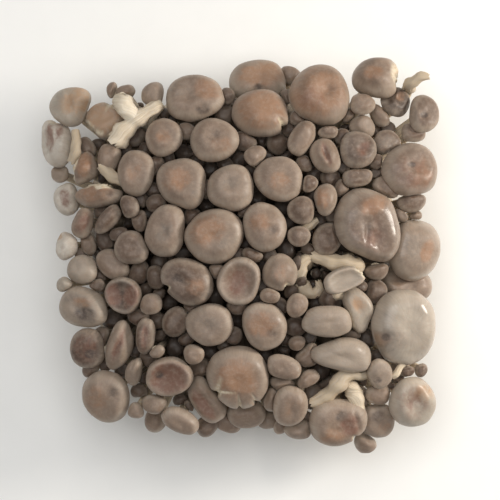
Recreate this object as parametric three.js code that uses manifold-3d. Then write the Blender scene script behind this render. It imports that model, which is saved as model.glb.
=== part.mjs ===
// A bunch of small brown-capped mushrooms grown from one butt, standing on its flat cut base, caps up.
// Millimetres, +Z up. The origin is the middle of the cut base.
import * as THREE from 'three';
import Module from 'manifold-3d';

// ---- Driving dimensions -------------------------------------------------------------------------
const CROWN = 46;          // height of the caps over the middle of the bunch
const EDGE_DROP = 13;      // how much lower the caps stand at the edge
const REACH = 68;          // half the width of the bunch
const PROUD = 0.14;        // extra height per millimetre of cap past a middling one
const MIDDLING = 12;       // width of a middling cap
const PRESS = 0.86;        // share of two caps' widths at which they stand side by side, not one on the other
const LOWEST = 19;         // no cap has its middle below this
const LEAN = 0.42;         // outward slope of a cap at the edge of the bunch
const FULL = 1.07;         // makes up for the flats between a cap's few corners
const GAP = 0.3;           // clearance between two solids
const BUTT = { foot: 46, waist: 52, neck: 50, height: 13, sides: 24, square: 3.2 };
const BUTT_TOP = { rise: 2, shoulder: 1.5, width: 0.5 };       // how the butt rounds over between the stems
const WAIST_AT = 0.55;     // height of the butt's widest level, as a share of its own
const LUMPS = { size: 0.02, slow: 5, quick: 8 };               // swellings round the butt
const ROOT = { spread: 0.66, inset: 4, depth: 3, knee: 0.5, out: 0.72 };   // foot and bend of a stem
const STEM = { sides: 5, slimSides: 4, thick: 0.75, perCap: 0.17, swell: 1.3, waist: 1.1, room: 0.45 };
const TORN = { inset: 0.93, drop: 8, root: 1.2, bend: 1.05, tip: 0.95 };   // bend and taper of a lying stem
const LEADERS = 59;        // caps that have a node of their own; the smaller ones grow onto the nearest
const GRIP = 0.45;         // share of a small cap's reach that is sunk into the one it grows onto
const CLING = 0.3;         // share of its own height that a small cap may hang below its leader's rim
const DEPTH_COUNTS = 0.6;  // how much a difference in height counts when a small cap picks its leader
const WAVE = { slow: 0.035, quick: 0.02, spread: 0.02 };       // how far a cap's outline strays from an oval
const ROUND = 0.92;        // how far a dome falls towards its rim
const EASE = 0.02;         // steps in which two caps are drawn in until one clears the other
const RIM = 0.2;           // how far below its middle a cap is widest, as a share of its height
const NARROWEST = 0.42;    // a pressed side keeps at least this share of its cap's radius
const NEAR = 2;            // gap past which two neighbours can't press on each other
const PASSES = 4;          // times that a point is moved back behind the planes that press on it
const SEED = 20;
const CREAM = 0xd9cdb4;    // the flesh of the stems and the butt
const TAUPE = 0x93806f;    // the skin of the caps

// ---- The caps, from the top of the heap down ----------------------------------------------------
// Each row: x, y, length and width of the cap, turn of its length in degrees, form, extra lean in x and y.
const CAPS = [
  [42.8, 6, 27.5, 20.8, 101, 'crease'],
  [55.2, -28, 24.7, 22.2, 90, 'dome'],
  [-1.2, -45, 21.4, 20, 90, 'dome'],
  [26.7, 51, 20.8, 20.5, 0, 'dome'],
  [6.4, 45, 19, 15.4, 0, 'bud'],
  [-16, 50, 20, 15.5, 10, 'crease'],
  [57.2, 25.4, 19, 18.8, 90, 'dome'],
  [58.5, -1.2, 21, 18, 90, 'dome'],
  [-46.2, -51.2, 18, 15.8, 90, 'dome'],
  [-24.6, -44.5, 15.5, 13, 0, 'dish'],
  [-53.8, -21.2, 16.6, 13.6, -18, 'dome'],
  [-48, 17.5, 18, 9.5, 4, 'bud'],
  [-53.5, 26, 12, 9, 75, 'bud'],
  [-58, 47.5, 15.5, 13.6, 0, 'dome'],
  [-46.5, 42.8, 14, 13, 20, 'crease'],
  [33.4, -36.8, 21.5, 11.5, -8, 'dome'],
  [28.7, -26, 17, 10.5, 0, 'dome'],
  [39, -22.2, 16, 11, -55, 'dome'],
  [34.6, -11.6, 14.5, 8, 20, 'dish'],
  [58.2, -53.4, 17.2, 15.8, 90, 'crease'],
  [32.5, -60.2, 19, 16, 0, 'crease'],
  [46, -59.5, 12.6, 12.4, 0, 'dome'],
  [-12, -52.5, 17, 10, -55, 'crease'],
  [16.3, -54.5, 13.5, 11.5, 90, 'dome'],
  [15.3, -41, 11.8, 7.8, -12, 'dome'],
  [-36, 24.5, 15, 12.5, 90, 'dome'],
  [-37, -1, 12, 11.5, 0, 'dome'],
  [-43.5, -6.5, 12, 9.5, 160, 'dome'],
  [-54.4, -8.4, 10.2, 9.8, 0, 'bud'],
  [-40, -17, 12.3, 12, 0, 'dish'],
  [-52.3, -35, 14, 12, 90, 'dome'],
  [-41.5, -34, 17, 9, 70, 'bud'],
  [-32.7, -31, 12, 6.5, 85, 'bud'],
  [45.8, 57.8, 17, 14.3, 0, 'bud', -0.5, 0.1],
  [52.4, 49.3, 10.6, 9.8, 90, 'dome'],
  [62, 45, 12.6, 10.3, 90, 'dome'],
  [39.2, 32.3, 13, 12, 90, 'dome'],
  [28.2, 30.3, 12, 9.5, -70, 'bud'],
  [12.5, 22.3, 16, 15, 0, 'dome'],
  [-9.5, 35.5, 15.5, 15, 0, 'dome'],
  [-26.5, 36.5, 13, 12, 30, 'dome'],
  [29, 2, 11, 10, 60, 'dome'],
  [20, 11.6, 9.4, 9, 0, 'bud'],
  [27.4, 15.7, 10.5, 8, 90, 'bud'],
  [-63.4, 35.6, 18.4, 11, 95, 'dome', -0.35, 0],
  // the crowded middle
  [-20, 20.5, 18.5, 16, 120, 'dome'],
  [-4, 19, 16.5, 15, 20, 'dome'],
  [-25.5, 4.5, 17, 14.5, 70, 'dome'],
  [-9.5, 3, 20, 17.5, 30, 'dome'],
  [7.5, 6, 16, 14.5, 110, 'dome'],
  [-18.5, -12.5, 17.5, 15, 150, 'dome'],
  [-1, -12.5, 16, 14, 60, 'dish'],
  [-11, -27, 15.5, 14, 20, 'dome'],
  [7.5, -27.5, 16, 14.5, 100, 'dome'],
  [12.8, -9.5, 12.5, 11, 70, 'bud'],
  [-22.2, -26, 10.5, 9, 40, 'bud'],
  [-29, -11, 8, 6.5, 100, 'bud'],
  // a layer lower
  [5.5, 56, 19.5, 15, 0, 'dome'],
  [56.5, -13.2, 17, 13, 0, 'dome'],
  [-60, 16, 11.2, 8.8, 100, 'bud', -0.2, 0],
  [-53.4, 8.2, 12, 7.5, 60, 'bud'],
  [-45, 8.5, 13, 5.5, 50, 'bud'],
  [-61.5, 2.6, 10, 7.2, 90, 'bud', -0.2, 0],
  [1.2, -57.2, 12.6, 11.2, 0, 'dome', 0, -0.2],
  [-21, -59.5, 13, 8, -30, 'dome', 0, -0.2],
  [46.2, -43.6, 10, 9.5, 90, 'dome'],
  [22, -37, 9, 8.5, 90, 'bud'],
  [42.3, -67.2, 8.6, 7.8, 90, 'bud', 0, -0.2],
  [45.7, -8, 8.4, 7.4, 0, 'bud'],
  [57.3, 15.4, 10.5, 8.2, 0, 'bud'],
  [49.6, 34.5, 10, 9.5, 0, 'dome'],
  [48.5, 18.8, 9.5, 9, 0, 'dome'],
  [38.9, 23.2, 10.1, 8, 0, 'dome'],
  [41, 40.4, 8.5, 8, 0, 'bud'],
  [40.8, 48, 8.4, 7.4, 0, 'bud'],
  [58.4, 38.6, 8.6, 6.6, 0, 'bud'],
  [20.3, 36, 12.5, 8, 60, 'bud'],
  [-29.4, -53.8, 9, 6.5, 0, 'bud'],
  [19.5, -62.5, 10, 7, 0, 'bud', 0, -0.2],
  [-45, 29.5, 12, 8, 80, 'bud'],
  [-47.5, -31.5, 8, 6, 90, 'bud'],
  [-36, -43.5, 10.5, 5.5, 80, 'bud'],
  [-38, 13, 8, 6, 100, 'bud'],
  [47, 44.8, 8.5, 6.5, -60, 'bud'],
  [9.8, -52, 9, 5.5, 90, 'bud'],
  [22.3, -44.8, 8, 5.5, 30, 'bud'],
  [-31, -20, 8, 7, 0, 'bud'],
  [-35, -24.5, 7.5, 6, 0, 'bud'],
  [-19, 38.5, 6.5, 6, 0, 'bud'],
  // buds deep in the gaps
  [-31, 50.8, 9.6, 7.6, 80, 'bud'],
  [-38.5, 53.2, 6.6, 6.4, 0, 'bud'],
  [-43.5, 54.5, 5.5, 4.5, 90, 'bud'],
  [-52.5, 33, 9, 5, -60, 'bud'],
  [-62.3, 24.6, 6.5, 6, 0, 'bud', -0.2, 0],
  [-34.5, 7.8, 8, 5, 100, 'bud'],
  [-41.6, 3.6, 6.5, 4.8, 10, 'bud'],
  [-52, 1, 8, 5, 100, 'bud'],
  [-49.5, -13.8, 6, 5.5, 0, 'bud'],
  [-60, -13.4, 6.4, 5.6, 20, 'bud', -0.2, 0],
  [-51.5, -42, 7, 6, 60, 'bud', -0.2, 0],
  [-28.8, -35.8, 5.5, 4.5, 0, 'bud'],
  [-16.3, -37, 7, 6.5, 0, 'bud'],
  [-36, -56, 6, 5.5, 0, 'bud'],
  [8.8, -59.6, 7.4, 6.4, 0, 'bud', 0, -0.2],
  [13.6, -46.9, 8.2, 5, -15, 'bud'],
  [17.8, -33, 5.6, 5, 0, 'bud'],
  [56, -42.2, 5.6, 5.4, 0, 'bud'],
  [60.7, -42.3, 5, 5, 0, 'bud'],
  [45.7, 28.3, 5.6, 5, 0, 'bud'],
  [36, 44.5, 6, 5.4, 0, 'bud'],
  [16, 58.5, 8, 7, 0, 'bud'],
  [-5.5, 50.5, 6.4, 6, 0, 'bud'],
  [18.5, 43, 5.4, 5, 0, 'bud'],
  [29, 38.5, 6.5, 6, 0, 'bud'],
  [21.5, 27.6, 6.4, 6, 0, 'bud'],
  [22.5, 20.6, 6, 5.6, 0, 'bud'],
  [33.8, 19, 6.4, 5, 90, 'bud'],
  [20.6, 2.4, 7.4, 7, 0, 'bud'],
  [33.8, 36.8, 6, 5.6, 0, 'bud'],
  [-12, 19, 7, 6, 90, 'bud'],
  [4.5, 30, 7.5, 6.5, 40, 'bud'],
  [-29, 14, 7, 6.4, 0, 'bud'],
  [-16.5, 9.5, 6.5, 6, 0, 'bud'],
  [1, 11.5, 6, 5.6, 0, 'bud'],
  [-29.5, 27, 6.6, 6, 60, 'bud'],
  [3.5, -3.5, 7, 6.4, 0, 'bud'],
  [-8.8, -8.5, 6.4, 6, 0, 'bud'],
  [-1.5, -20.4, 7, 6.4, 0, 'bud'],
  [-17.5, -21.2, 6.4, 6, 0, 'bud'],
  [9.4, -17.4, 6.6, 6, 30, 'bud'],
  [-3, -30.5, 6.4, 6, 0, 'bud'],
  [18.5, -20.5, 8, 7, 60, 'bud'],
  [-4.6, -59.6, 10.8, 8.6, -15, 'dome', 0, -0.2],
  [46.4, -50.6, 8.4, 7.4, 0, 'bud'],
];

// Bent and torn stems that lie between the caps: x, y of the two ends, their height and half thickness.
const LYING = [
  [-33, 45, -43, 36.8, 35, 33.5, 2.9],
  [-40, 50, -40, 44.5, 36, 35.5, 2.5],
  [37.5, -5, 24.5, -6.5, 33, 34, 2.4],
  [22.5, -6.5, 21.5, -17.5, 34, 32, 2.6],
  [40.5, -46.5, 26.5, -50.5, 31, 30, 2.4],
  [60, 56.5, 55.4, 55.6, 26, 28, 2.6],
];

// ---- Cap profiles: pairs of radius and height, as shares of the cap's own -----------------------
const PROFILES = {
  dome: { height: 0.43, pole: 0.92, rings: [[0.3, 0.98], [0.74, 0.78], [1, 0.28], [0.88, 0]] },
  crease: { height: 0.42, pole: 0.82, rings: [[0.3, 0.95], [0.74, 0.8], [1, 0.28], [0.88, 0]] },
  dish: { height: 0.36, pole: 0.62, rings: [[0.36, 0.66], [0.78, 0.86], [1, 0.38], [0.9, 0]] },
  bud: { height: 0.56, pole: 1, rings: [[0.54, 0.88], [0.96, 0.42], [0.86, 0]] },
};
const UNDER = { outer: 0.58, low: 0.12, high: 0.3, gill: 0.07, collar: 0.5, least: 0.05, plain: 0.05 };
const SMALL = 9;           // a cap narrower than this has a plain underside and a straight slim stem
const SIDES = { small: 6, middling: 8, large: 12 };
const CREASE = { deep: 0.22, narrow: 0.3 };

const wasm = await Module();
wasm.setup();

// ---- Small vector sums --------------------------------------------------------------------------
const add = (a, b, s = 1) => [a[0] + b[0] * s, a[1] + b[1] * s, a[2] + b[2] * s];
const dot = (a, b) => a[0] * b[0] + a[1] * b[1] + a[2] * b[2];
const scaled = (a, s) => [a[0] * s, a[1] * s, a[2] * s];
const unit = (a) => scaled(a, 1 / Math.sqrt(dot(a, a)));
const cross = (a, b) => [
  a[1] * b[2] - a[2] * b[1], a[2] * b[0] - a[0] * b[2], a[0] * b[1] - a[1] * b[0],
];

// Park and Miller's generator, so that every run draws the same numbers.
const DRAW = { times: 16807, size: 2147483647 };
let seed = SEED;
function random() {
  seed = (seed * DRAW.times) % DRAW.size;
  return seed / DRAW.size;
}

// ---- Where each cap stands ----------------------------------------------------------------------
function newCap([x, y, long, wide, turn, form, leanX = 0, leanY = 0], index) {
  const profile = PROFILES[form];
  [long, wide] = [long * FULL, wide * FULL];
  const radius = Math.sqrt(long * wide) / 2;
  const height = profile.height * (long + wide) / 2;
  const axis = unit([x / REACH * LEAN + leanX, y / REACH * LEAN + leanY, 1]);
  const angle = turn * Math.PI / 180;
  const along = unit(cross([-Math.sin(angle), Math.cos(angle), 0], axis));
  const rise = CROWN - EDGE_DROP * (x * x + y * y) / (REACH * REACH) + PROUD * (2 * radius - MIDDLING);
  return {
    index, x, y, long, wide, angle, form, profile, radius, height, axis, along,
    across: cross(axis, along), mid: rise - height / 2, start: 0,
    waves: [random() * 2 * Math.PI, random() * 2 * Math.PI, random()],
  };
}

// A cap's outline isn't a true oval: two slow waves run round it.
function outline(cap, angle) {
  const [first, second, size] = cap.waves;
  return 1 + WAVE.slow * Math.sin(2 * angle + first)
    + (WAVE.quick + WAVE.spread * size) * Math.sin(3 * angle + second);
}

// The meridian of a cap that points to another one, and half the cap's width along it.
function meridianTowards(cap, other) {
  const way = Math.atan2(other.y - cap.y, other.x - cap.x) - cap.angle;
  const c = Math.cos(way) / (cap.long / 2), s = Math.sin(way) / (cap.wide / 2);
  const angle = Math.atan2(s, c);
  return { angle, reach: outline(cap, angle) / Math.sqrt(c * c + s * s) };
}

const reachTowards = (cap, other) => meridianTowards(cap, other).reach;

// Height of a leaning cap's widest ring under the point x, y.
function rimHeight(cap, x, y) {
  const [leanX, leanY, up] = cap.axis;
  return cap.mid - RIM * cap.height - (leanX * (x - cap.x) + leanY * (y - cap.y)) / up;
}

// Where the near side of a lower cap slips under the rim of an upper one, each drawn in to a share.
function slip(upper, lower, share) {
  const apart = Math.hypot(lower.x - upper.x, lower.y - upper.y);
  const way = [(lower.x - upper.x) / apart, (lower.y - upper.y) / apart, 0];
  const over = share * reachTowards(upper, lower), under = share * reachTowards(lower, upper);
  if (apart >= over + under) return { way, apart, over, under, beside: true, step: -Infinity };
  const offset = Math.max(0, (apart - over) / under);
  const dome = Math.sqrt(1 - ROUND * offset * offset);
  const fallUpper = dot(upper.axis, way) / upper.axis[2], fallLower = dot(lower.axis, way) / lower.axis[2];
  const step = (upper.height - lower.height) / 2 + fallUpper * over
    + lower.height * dome + fallLower * offset * under;
  return { way, apart, over, under, offset, dome, fallLower, step, beside: false };
}

function placedCaps() {
  const caps = CAPS.map(newCap);
  caps.forEach((cap, i) => {
    for (const upper of caps.slice(0, i)) {
      cap.mid = Math.min(cap.mid, upper.mid - slip(upper, cap, PRESS).step);
    }
    cap.mid = Math.max(cap.mid, LOWEST);
  });
  return caps;
}

// The largest caps lead a node each, and every other cap joins the leader whose side it is nearest to.
function groupedCaps(caps) {
  const leaders = [...caps].sort((a, b) => b.radius - a.radius || a.index - b.index).slice(0, LEADERS);
  leaders.sort((a, b) => a.index - b.index);
  const groups = leaders.map((leader) => [leader]);
  for (const cap of caps) {
    if (leaders.includes(cap)) continue;
    const clear = (other) => Math.hypot(cap.x - other.x, cap.y - other.y)
      - reachTowards(cap, other) - reachTowards(other, cap) + DEPTH_COUNTS * Math.abs(cap.mid - other.mid);
    let best = 0;
    leaders.forEach((leader, k) => { if (clear(leader) < clear(leaders[best])) best = k; });
    groups[best].push(cap);
  }
  groups.forEach((group, k) => group.forEach((cap) => { cap.group = k; }));
  return groups;
}

// A small cap is drawn against its leader until the two share flesh, with a corner turned to it.
function drawTogether(groups) {
  for (const [leader, ...followers] of groups) {
    for (const cap of followers) {
      const reach = (1 - GRIP) * reachTowards(cap, leader) + reachTowards(leader, cap);
      const gap = Math.hypot(cap.x - leader.x, cap.y - leader.y);
      const share = Math.min(1, reach / gap);
      cap.x = leader.x + (cap.x - leader.x) * share;
      cap.y = leader.y + (cap.y - leader.y) * share;
      const rim = rimHeight(leader, cap.x, cap.y);
      cap.mid = Math.max(cap.mid, rim - CLING * cap.height);
      cap.mid = Math.min(cap.mid, rim + RIM * cap.height);
      cap.start = meridianTowards(cap, leader).angle;
    }
  }
}

// ---- Stems ---------------------------------------------------------------------------------------
const middleOf = (cap) => [cap.x, cap.y, cap.mid];
const pointOnAxis = (cap, share) => add(middleOf(cap), cap.axis, (share - 0.5) * cap.height);

// Distance from the middle to a rounded square of half width 1, in the direction of x, y.
function squareReach(x, y) {
  const long = Math.hypot(x, y);
  return 1 / (Math.abs(x / long) ** BUTT.square + Math.abs(y / long) ** BUTT.square) ** (1 / BUTT.square);
}

function rootUnder([x, y]) {
  const share = Math.min(ROOT.spread, (BUTT.neck - ROOT.inset) * squareReach(x, y) / Math.hypot(x, y));
  return [x * share, y * share, BUTT.height - ROOT.depth];
}

const stemThickness = (cap) => STEM.thick + STEM.perCap * cap.radius;

function stemOf(cap) {
  const neck = add(pointOnAxis(cap, underPole(cap)), cap.axis, -GAP);
  const root = rootUnder(neck);
  const thick = stemThickness(cap);
  const way = add(neck, root, -1);
  const knee = [root[0] + way[0] * ROOT.out, root[1] + way[1] * ROOT.out, root[2] + way[2] * ROOT.knee];
  const straight = cap.wide < SMALL;
  return {
    cap,
    points: straight ? [root, neck] : [root, knee, neck],
    radii: straight ? [thick * STEM.swell, thick] : [thick * STEM.swell, thick * STEM.waist, thick],
    last: cap.axis,
  };
}

function lyingStem([x0, y0, x1, y1, z0, z1, thick]) {
  return {
    cap: null,
    points: [
      rootUnder([x0, y0]),
      [x0 * TORN.inset, y0 * TORN.inset, z0 - TORN.drop],
      [x0, y0, z0],
      [x1, y1, z1],
    ],
    radii: [thick * TORN.root, thick * TORN.bend, thick, thick * TORN.tip],
    last: unit([x1 - x0, y1 - y0, z1 - z0]),
  };
}

const underPole = (cap) => (cap.wide < SMALL ? UNDER.plain : UNDER.high);

// The point of a stretch of stem nearest to p, of the part of it that is above a height.
function nearestOnSegment(p, a, b, lowest) {
  const ab = add(b, a, -1);
  const from = a[2] < lowest ? (lowest - a[2]) / ab[2] : 0;
  const t = Math.min(1, Math.max(from, dot(add(p, a, -1), ab) / dot(ab, ab)));
  return { point: add(a, ab, t), t };
}

// ---- What presses on a cap: planes that its flesh stays behind -----------------------------------
// The plane between two caps, from the upper one to the lower: upright where they stand side by side,
// and touching the lower one's dome under the upper one's rim where one lies on the other.
function planeBetween(upper, lower) {
  let share = 1, met = slip(upper, lower, share);
  while (met.step > upper.mid - lower.mid && share > NARROWEST) {
    share -= EASE;
    met = slip(upper, lower, share);
  }
  const { way, apart, over, under, beside } = met;
  if (beside) return { normal: way, point: add(middleOf(upper), way, apart * over / (over + under)) };
  const { offset, dome, fallLower, step } = met;
  const steep = ROUND * lower.height * offset / (dome * under) + fallLower;
  const height = lower.height * (dome - 0.5) + fallLower * offset * under;
  const touch = add(middleOf(lower), way, -offset * under);
  return {
    normal: unit([way[0] * steep, way[1] * steep, -1]),
    point: add(touch, [0, 0, 1], height + (upper.mid - lower.mid - step) / 2),
  };
}

function planesOn(cap, caps, stems) {
  const planes = [];
  const here = middleOf(cap);
  const lowest = cap.mid - cap.height / 2 - cap.long / 2 * Math.hypot(cap.axis[0], cap.axis[1]) - NEAR;
  for (const other of caps) {
    if (other.group === cap.group) continue;
    const apart = Math.hypot(other.x - cap.x, other.y - cap.y);
    if (apart > (cap.long + other.long) / 2 + NEAR) continue;
    const { normal, point } = planeBetween(...(cap.mid > other.mid ? [cap, other] : [other, cap]));
    const side = cap.mid > other.mid ? 1 : -1;
    planes.push({ normal: scaled(normal, side), limit: side * dot(normal, point) - GAP / 2 });
  }
  for (const stem of stems) {
    if (stem.cap === cap) continue;
    for (let k = 0; k + 1 < stem.points.length; k += 1) {
      if (Math.max(stem.points[k][2], stem.points[k + 1][2]) < lowest) continue;
      const { point, t } = nearestOnSegment(here, stem.points[k], stem.points[k + 1], lowest);
      const away = add(point, here, -1);
      const distance = Math.sqrt(dot(away, away));
      const thick = stem.radii[k] + (stem.radii[k + 1] - stem.radii[k]) * t;
      if (distance > cap.long / 2 + thick + NEAR) continue;
      const normal = scaled(away, 1 / distance);
      planes.push({ normal, limit: dot(normal, point) - thick - STEM.room });
    }
  }
  return planes;
}

// ---- A cap's surface ------------------------------------------------------------------------------
// The share of its radius that a meridian keeps, so that all of it stays behind the planes.
function shareKept(cap, way, rings, planes) {
  const foot = pointOnAxis(cap, 0);
  let share = 1;
  for (const { normal, limit } of planes) {
    const slope = dot(normal, way);
    if (slope <= 0) continue;
    for (const [radius, height] of rings) {
      const room = limit - dot(normal, add(foot, cap.axis, height * cap.height));
      share = Math.min(share, room / (radius * slope));
    }
  }
  return Math.max(share, NARROWEST);
}

function pressed(point, planes) {
  let p = point;
  for (let pass = 0; pass < PASSES; pass += 1) {
    for (const { normal, limit } of planes) {
      const over = dot(normal, p) - limit;
      if (over > 0) p = add(p, normal, -over);
    }
  }
  return p;
}

function capSolid(cap, planes) {
  const small = cap.wide < SMALL;
  const sides = small ? SIDES.small : cap.wide < MIDDLING ? SIDES.middling : SIDES.large;
  const { rings } = cap.profile;
  const foot = pointOnAxis(cap, 0);
  const at = (way, radius, height) => pressed(
    add(add(foot, way, radius), cap.axis, height * cap.height), planes);
  const circles = rings.map(() => []);
  const gills = [], hub = [];
  for (let side = 0; side < sides; side += 1) {
    const angle = cap.start + 2 * Math.PI * side / sides;
    const wave = outline(cap, angle);
    const way = add(scaled(cap.along, Math.cos(angle) * cap.long / 2 * wave),
      cap.across, Math.sin(angle) * cap.wide / 2 * wave);
    const share = shareKept(cap, way, rings, planes);
    rings.forEach(([radius, height], k) => {
      const sink = cap.form === 'crease' && k < 2
        ? CREASE.deep * Math.max(0, Math.abs(Math.cos(angle)) - CREASE.narrow) : 0;
      circles[k].push(at(way, radius * share, height - sink));
    });
    if (!small) {
      const hubShare = (stemThickness(cap) + UNDER.collar) / Math.sqrt(dot(way, way));
      const gillShare = Math.max(UNDER.outer * share, hubShare + UNDER.least);
      gills.push(at(way, gillShare, UNDER.low + (side % 2 ? UNDER.gill : -UNDER.gill)));
      hub.push(at(way, hubShare, UNDER.high));
    }
  }
  if (!small) circles.push(gills, hub);
  const points = [at([0, 0, 0], 0, cap.profile.pole), ...circles.flat(), at([0, 0, 0], 0, underPole(cap))];
  return solid(points, ringFaces(circles.length, sides));
}

// Faces of a body made of rings of points between two poles; the first point is the top pole.
function ringFaces(ringCount, sides) {
  const faces = [];
  const id = (ring, side) => 1 + ring * sides + side % sides;
  const last = 1 + ringCount * sides;
  for (let side = 0; side < sides; side += 1) {
    faces.push([0, id(0, side), id(0, side + 1)]);
    for (let ring = 0; ring + 1 < ringCount; ring += 1) {
      faces.push([id(ring, side), id(ring + 1, side), id(ring + 1, side + 1)]);
      faces.push([id(ring, side), id(ring + 1, side + 1), id(ring, side + 1)]);
    }
    faces.push([last, id(ringCount - 1, side + 1), id(ringCount - 1, side)]);
  }
  return faces;
}

function solid(points, faces) {
  return new wasm.Manifold(new wasm.Mesh({
    numProp: 3,
    vertProperties: Float32Array.from(points.flat()),
    triVerts: Uint32Array.from(faces.flat()),
  }));
}

// ---- A stem and the butt --------------------------------------------------------------------------
const NEVER_ALONG = [0.3, -1, 0.05];      // a direction that no stem runs in
function stemSolid({ cap, points, radii, last }) {
  const sides = cap && cap.wide < SMALL ? STEM.slimSides : STEM.sides;
  const rings = points.map((point, k) => {
    const before = points[Math.max(k - 1, 0)], after = points[Math.min(k + 1, points.length - 1)];
    const way = k === 0 ? [0, 0, 1] : k === points.length - 1 ? last : unit(add(after, before, -1));
    const across = unit(cross(way, NEVER_ALONG));
    const up = cross(way, across);
    return Array.from({ length: sides }, (_, side) => {
      const angle = 2 * Math.PI * side / sides;
      return add(add(point, across, radii[k] * Math.cos(angle)), up, radii[k] * Math.sin(angle));
    });
  });
  const top = points[points.length - 1];
  return solid([top, ...rings.reverse().flat(), points[0]], ringFaces(rings.length, sides));
}

function buttSolid() {
  const levels = [
    [BUTT.neck * BUTT_TOP.width, BUTT.height + BUTT_TOP.shoulder],
    [BUTT.neck, BUTT.height],
    [BUTT.waist, BUTT.height * WAIST_AT],
    [BUTT.foot, 0],
  ];
  const rings = levels.map(([wide, height]) => Array.from({ length: BUTT.sides }, (_, side) => {
    const angle = 2 * Math.PI * side / BUTT.sides;
    const lump = 1 + LUMPS.size * (Math.sin(LUMPS.slow * angle) + Math.sin(LUMPS.quick * angle + 1));
    const [c, s] = [Math.cos(angle), Math.sin(angle)];
    const radius = wide * lump * squareReach(c, s);
    return [radius * c, radius * s, height];
  }));
  const top = [0, 0, BUTT.height + BUTT_TOP.rise];
  return solid([top, ...rings.flat(), [0, 0, 0]], ringFaces(rings.length, BUTT.sides));
}

// ---- The bunch ------------------------------------------------------------------------------------
function meshOf(made, name, material) {
  const { numProp, numVert, vertProperties, triVerts } = made.getMesh();
  const position = new Float32Array(numVert * 3);
  for (let v = 0; v < numVert; v += 1) {
    position.set(vertProperties.subarray(v * numProp, v * numProp + 3), v * 3);
  }
  const geometry = new THREE.BufferGeometry();
  geometry.setAttribute('position', new THREE.BufferAttribute(position, 3));
  geometry.setIndex(new THREE.BufferAttribute(triVerts, 1));
  geometry.computeVertexNormals();
  const mesh = new THREE.Mesh(geometry, material);
  mesh.name = name;
  return mesh;
}

const joined = (solids) => solids.reduce((all, next) => all.add(next));

const caps = placedCaps();
const groups = groupedCaps(caps);
drawTogether(groups);
const stems = [...caps.map(stemOf), ...LYING.map(lyingStem)];

const materialOf = (color, roughness) => new THREE.MeshStandardMaterial({
  color, roughness, metalness: 0, flatShading: true,
});

const bunch = new THREE.Group();
bunch.name = 'beech_mushroom_cluster';
const flesh = joined([buttSolid(), ...stems.map(stemSolid)]);
bunch.add(meshOf(flesh, 'stems_and_base', materialOf(CREAM, 0.62)));
groups.forEach((group, k) => {
  const heads = joined(group.map((cap) => capSolid(cap, planesOn(cap, caps, stems))));
  bunch.add(meshOf(heads, `caps_${String(k + 1).padStart(2, '0')}`, materialOf(TAUPE, 0.45)));
});

export default bunch;
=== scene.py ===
"""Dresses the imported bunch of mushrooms: its caps, stems, cut butt and the stage it is shown on."""

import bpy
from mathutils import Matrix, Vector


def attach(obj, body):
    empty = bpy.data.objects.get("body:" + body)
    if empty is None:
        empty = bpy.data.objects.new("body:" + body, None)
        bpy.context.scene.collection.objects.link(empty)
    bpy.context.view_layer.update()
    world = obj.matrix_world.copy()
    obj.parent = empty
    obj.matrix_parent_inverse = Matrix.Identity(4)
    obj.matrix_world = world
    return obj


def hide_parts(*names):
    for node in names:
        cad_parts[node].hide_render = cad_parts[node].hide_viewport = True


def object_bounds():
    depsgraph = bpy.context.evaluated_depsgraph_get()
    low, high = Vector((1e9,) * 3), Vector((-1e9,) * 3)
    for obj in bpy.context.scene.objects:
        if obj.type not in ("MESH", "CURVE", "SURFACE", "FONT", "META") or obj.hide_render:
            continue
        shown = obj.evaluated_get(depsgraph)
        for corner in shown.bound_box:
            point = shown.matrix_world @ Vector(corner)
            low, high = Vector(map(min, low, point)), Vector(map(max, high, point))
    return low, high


bl_info = {
    "name": "Beech Mushroom Cluster",
    "version": (1, 0, 0),
    "blender": (4, 5, 0),
    "location": "View3D > Sidebar > Mushrooms",
    "description": "Models the caps, stems and butt of a bunch of small mushrooms around its packed solids",
    "category": "Object",
}

import math
from functools import cache
from types import SimpleNamespace

import bpy
import numpy as np
from mathutils import Vector, noise

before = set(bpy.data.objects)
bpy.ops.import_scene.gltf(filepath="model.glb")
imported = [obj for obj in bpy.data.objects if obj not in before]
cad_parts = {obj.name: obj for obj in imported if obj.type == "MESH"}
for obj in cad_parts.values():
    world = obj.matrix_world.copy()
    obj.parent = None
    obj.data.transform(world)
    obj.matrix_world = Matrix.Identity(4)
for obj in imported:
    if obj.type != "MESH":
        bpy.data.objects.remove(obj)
CAD_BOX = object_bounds()

# ---- Driving dimensions: millimetres, as in the part's source ---------------------------------------
MM = 0.001                 # metres in a millimetre
CROWN = 46.0               # height of the caps over the middle of the bunch
EDGE_DROP = 13.0           # how much lower the caps stand at the edge
REACH = 68.0               # half the width of the bunch
PROUD = 0.14               # extra height per millimetre of cap past a middling one
MIDDLING = 12.0            # width of a middling cap
PRESS = 0.86               # share of two caps' widths at which they stand side by side
LOWEST = 19.0              # no cap has its middle below this
LEAN = 0.42                # outward slope of a cap at the edge of the bunch
FULL = 1.07                # the solids' caps are this much wider than their rows say
PLUMP = 0.965              # and the round caps are this share of the solids' corners
TALLEST = 46.7             # nothing stands higher than this
LEADERS = 59               # caps that have a solid of their own
DEPTH_COUNTS = 0.6         # how much height counts when a small cap picks its leader
WAVE = SimpleNamespace(slow=0.035, quick=0.02, spread=0.02)      # unevenness of a cap's outline
SEED = 20                  # where the part's draws start, and those of the finish
DRAW = SimpleNamespace(times=16807, size=2147483647)             # the rule by which one draw follows another
TINY = 1e-9                # keeps a sum from dividing by nothing

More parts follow.
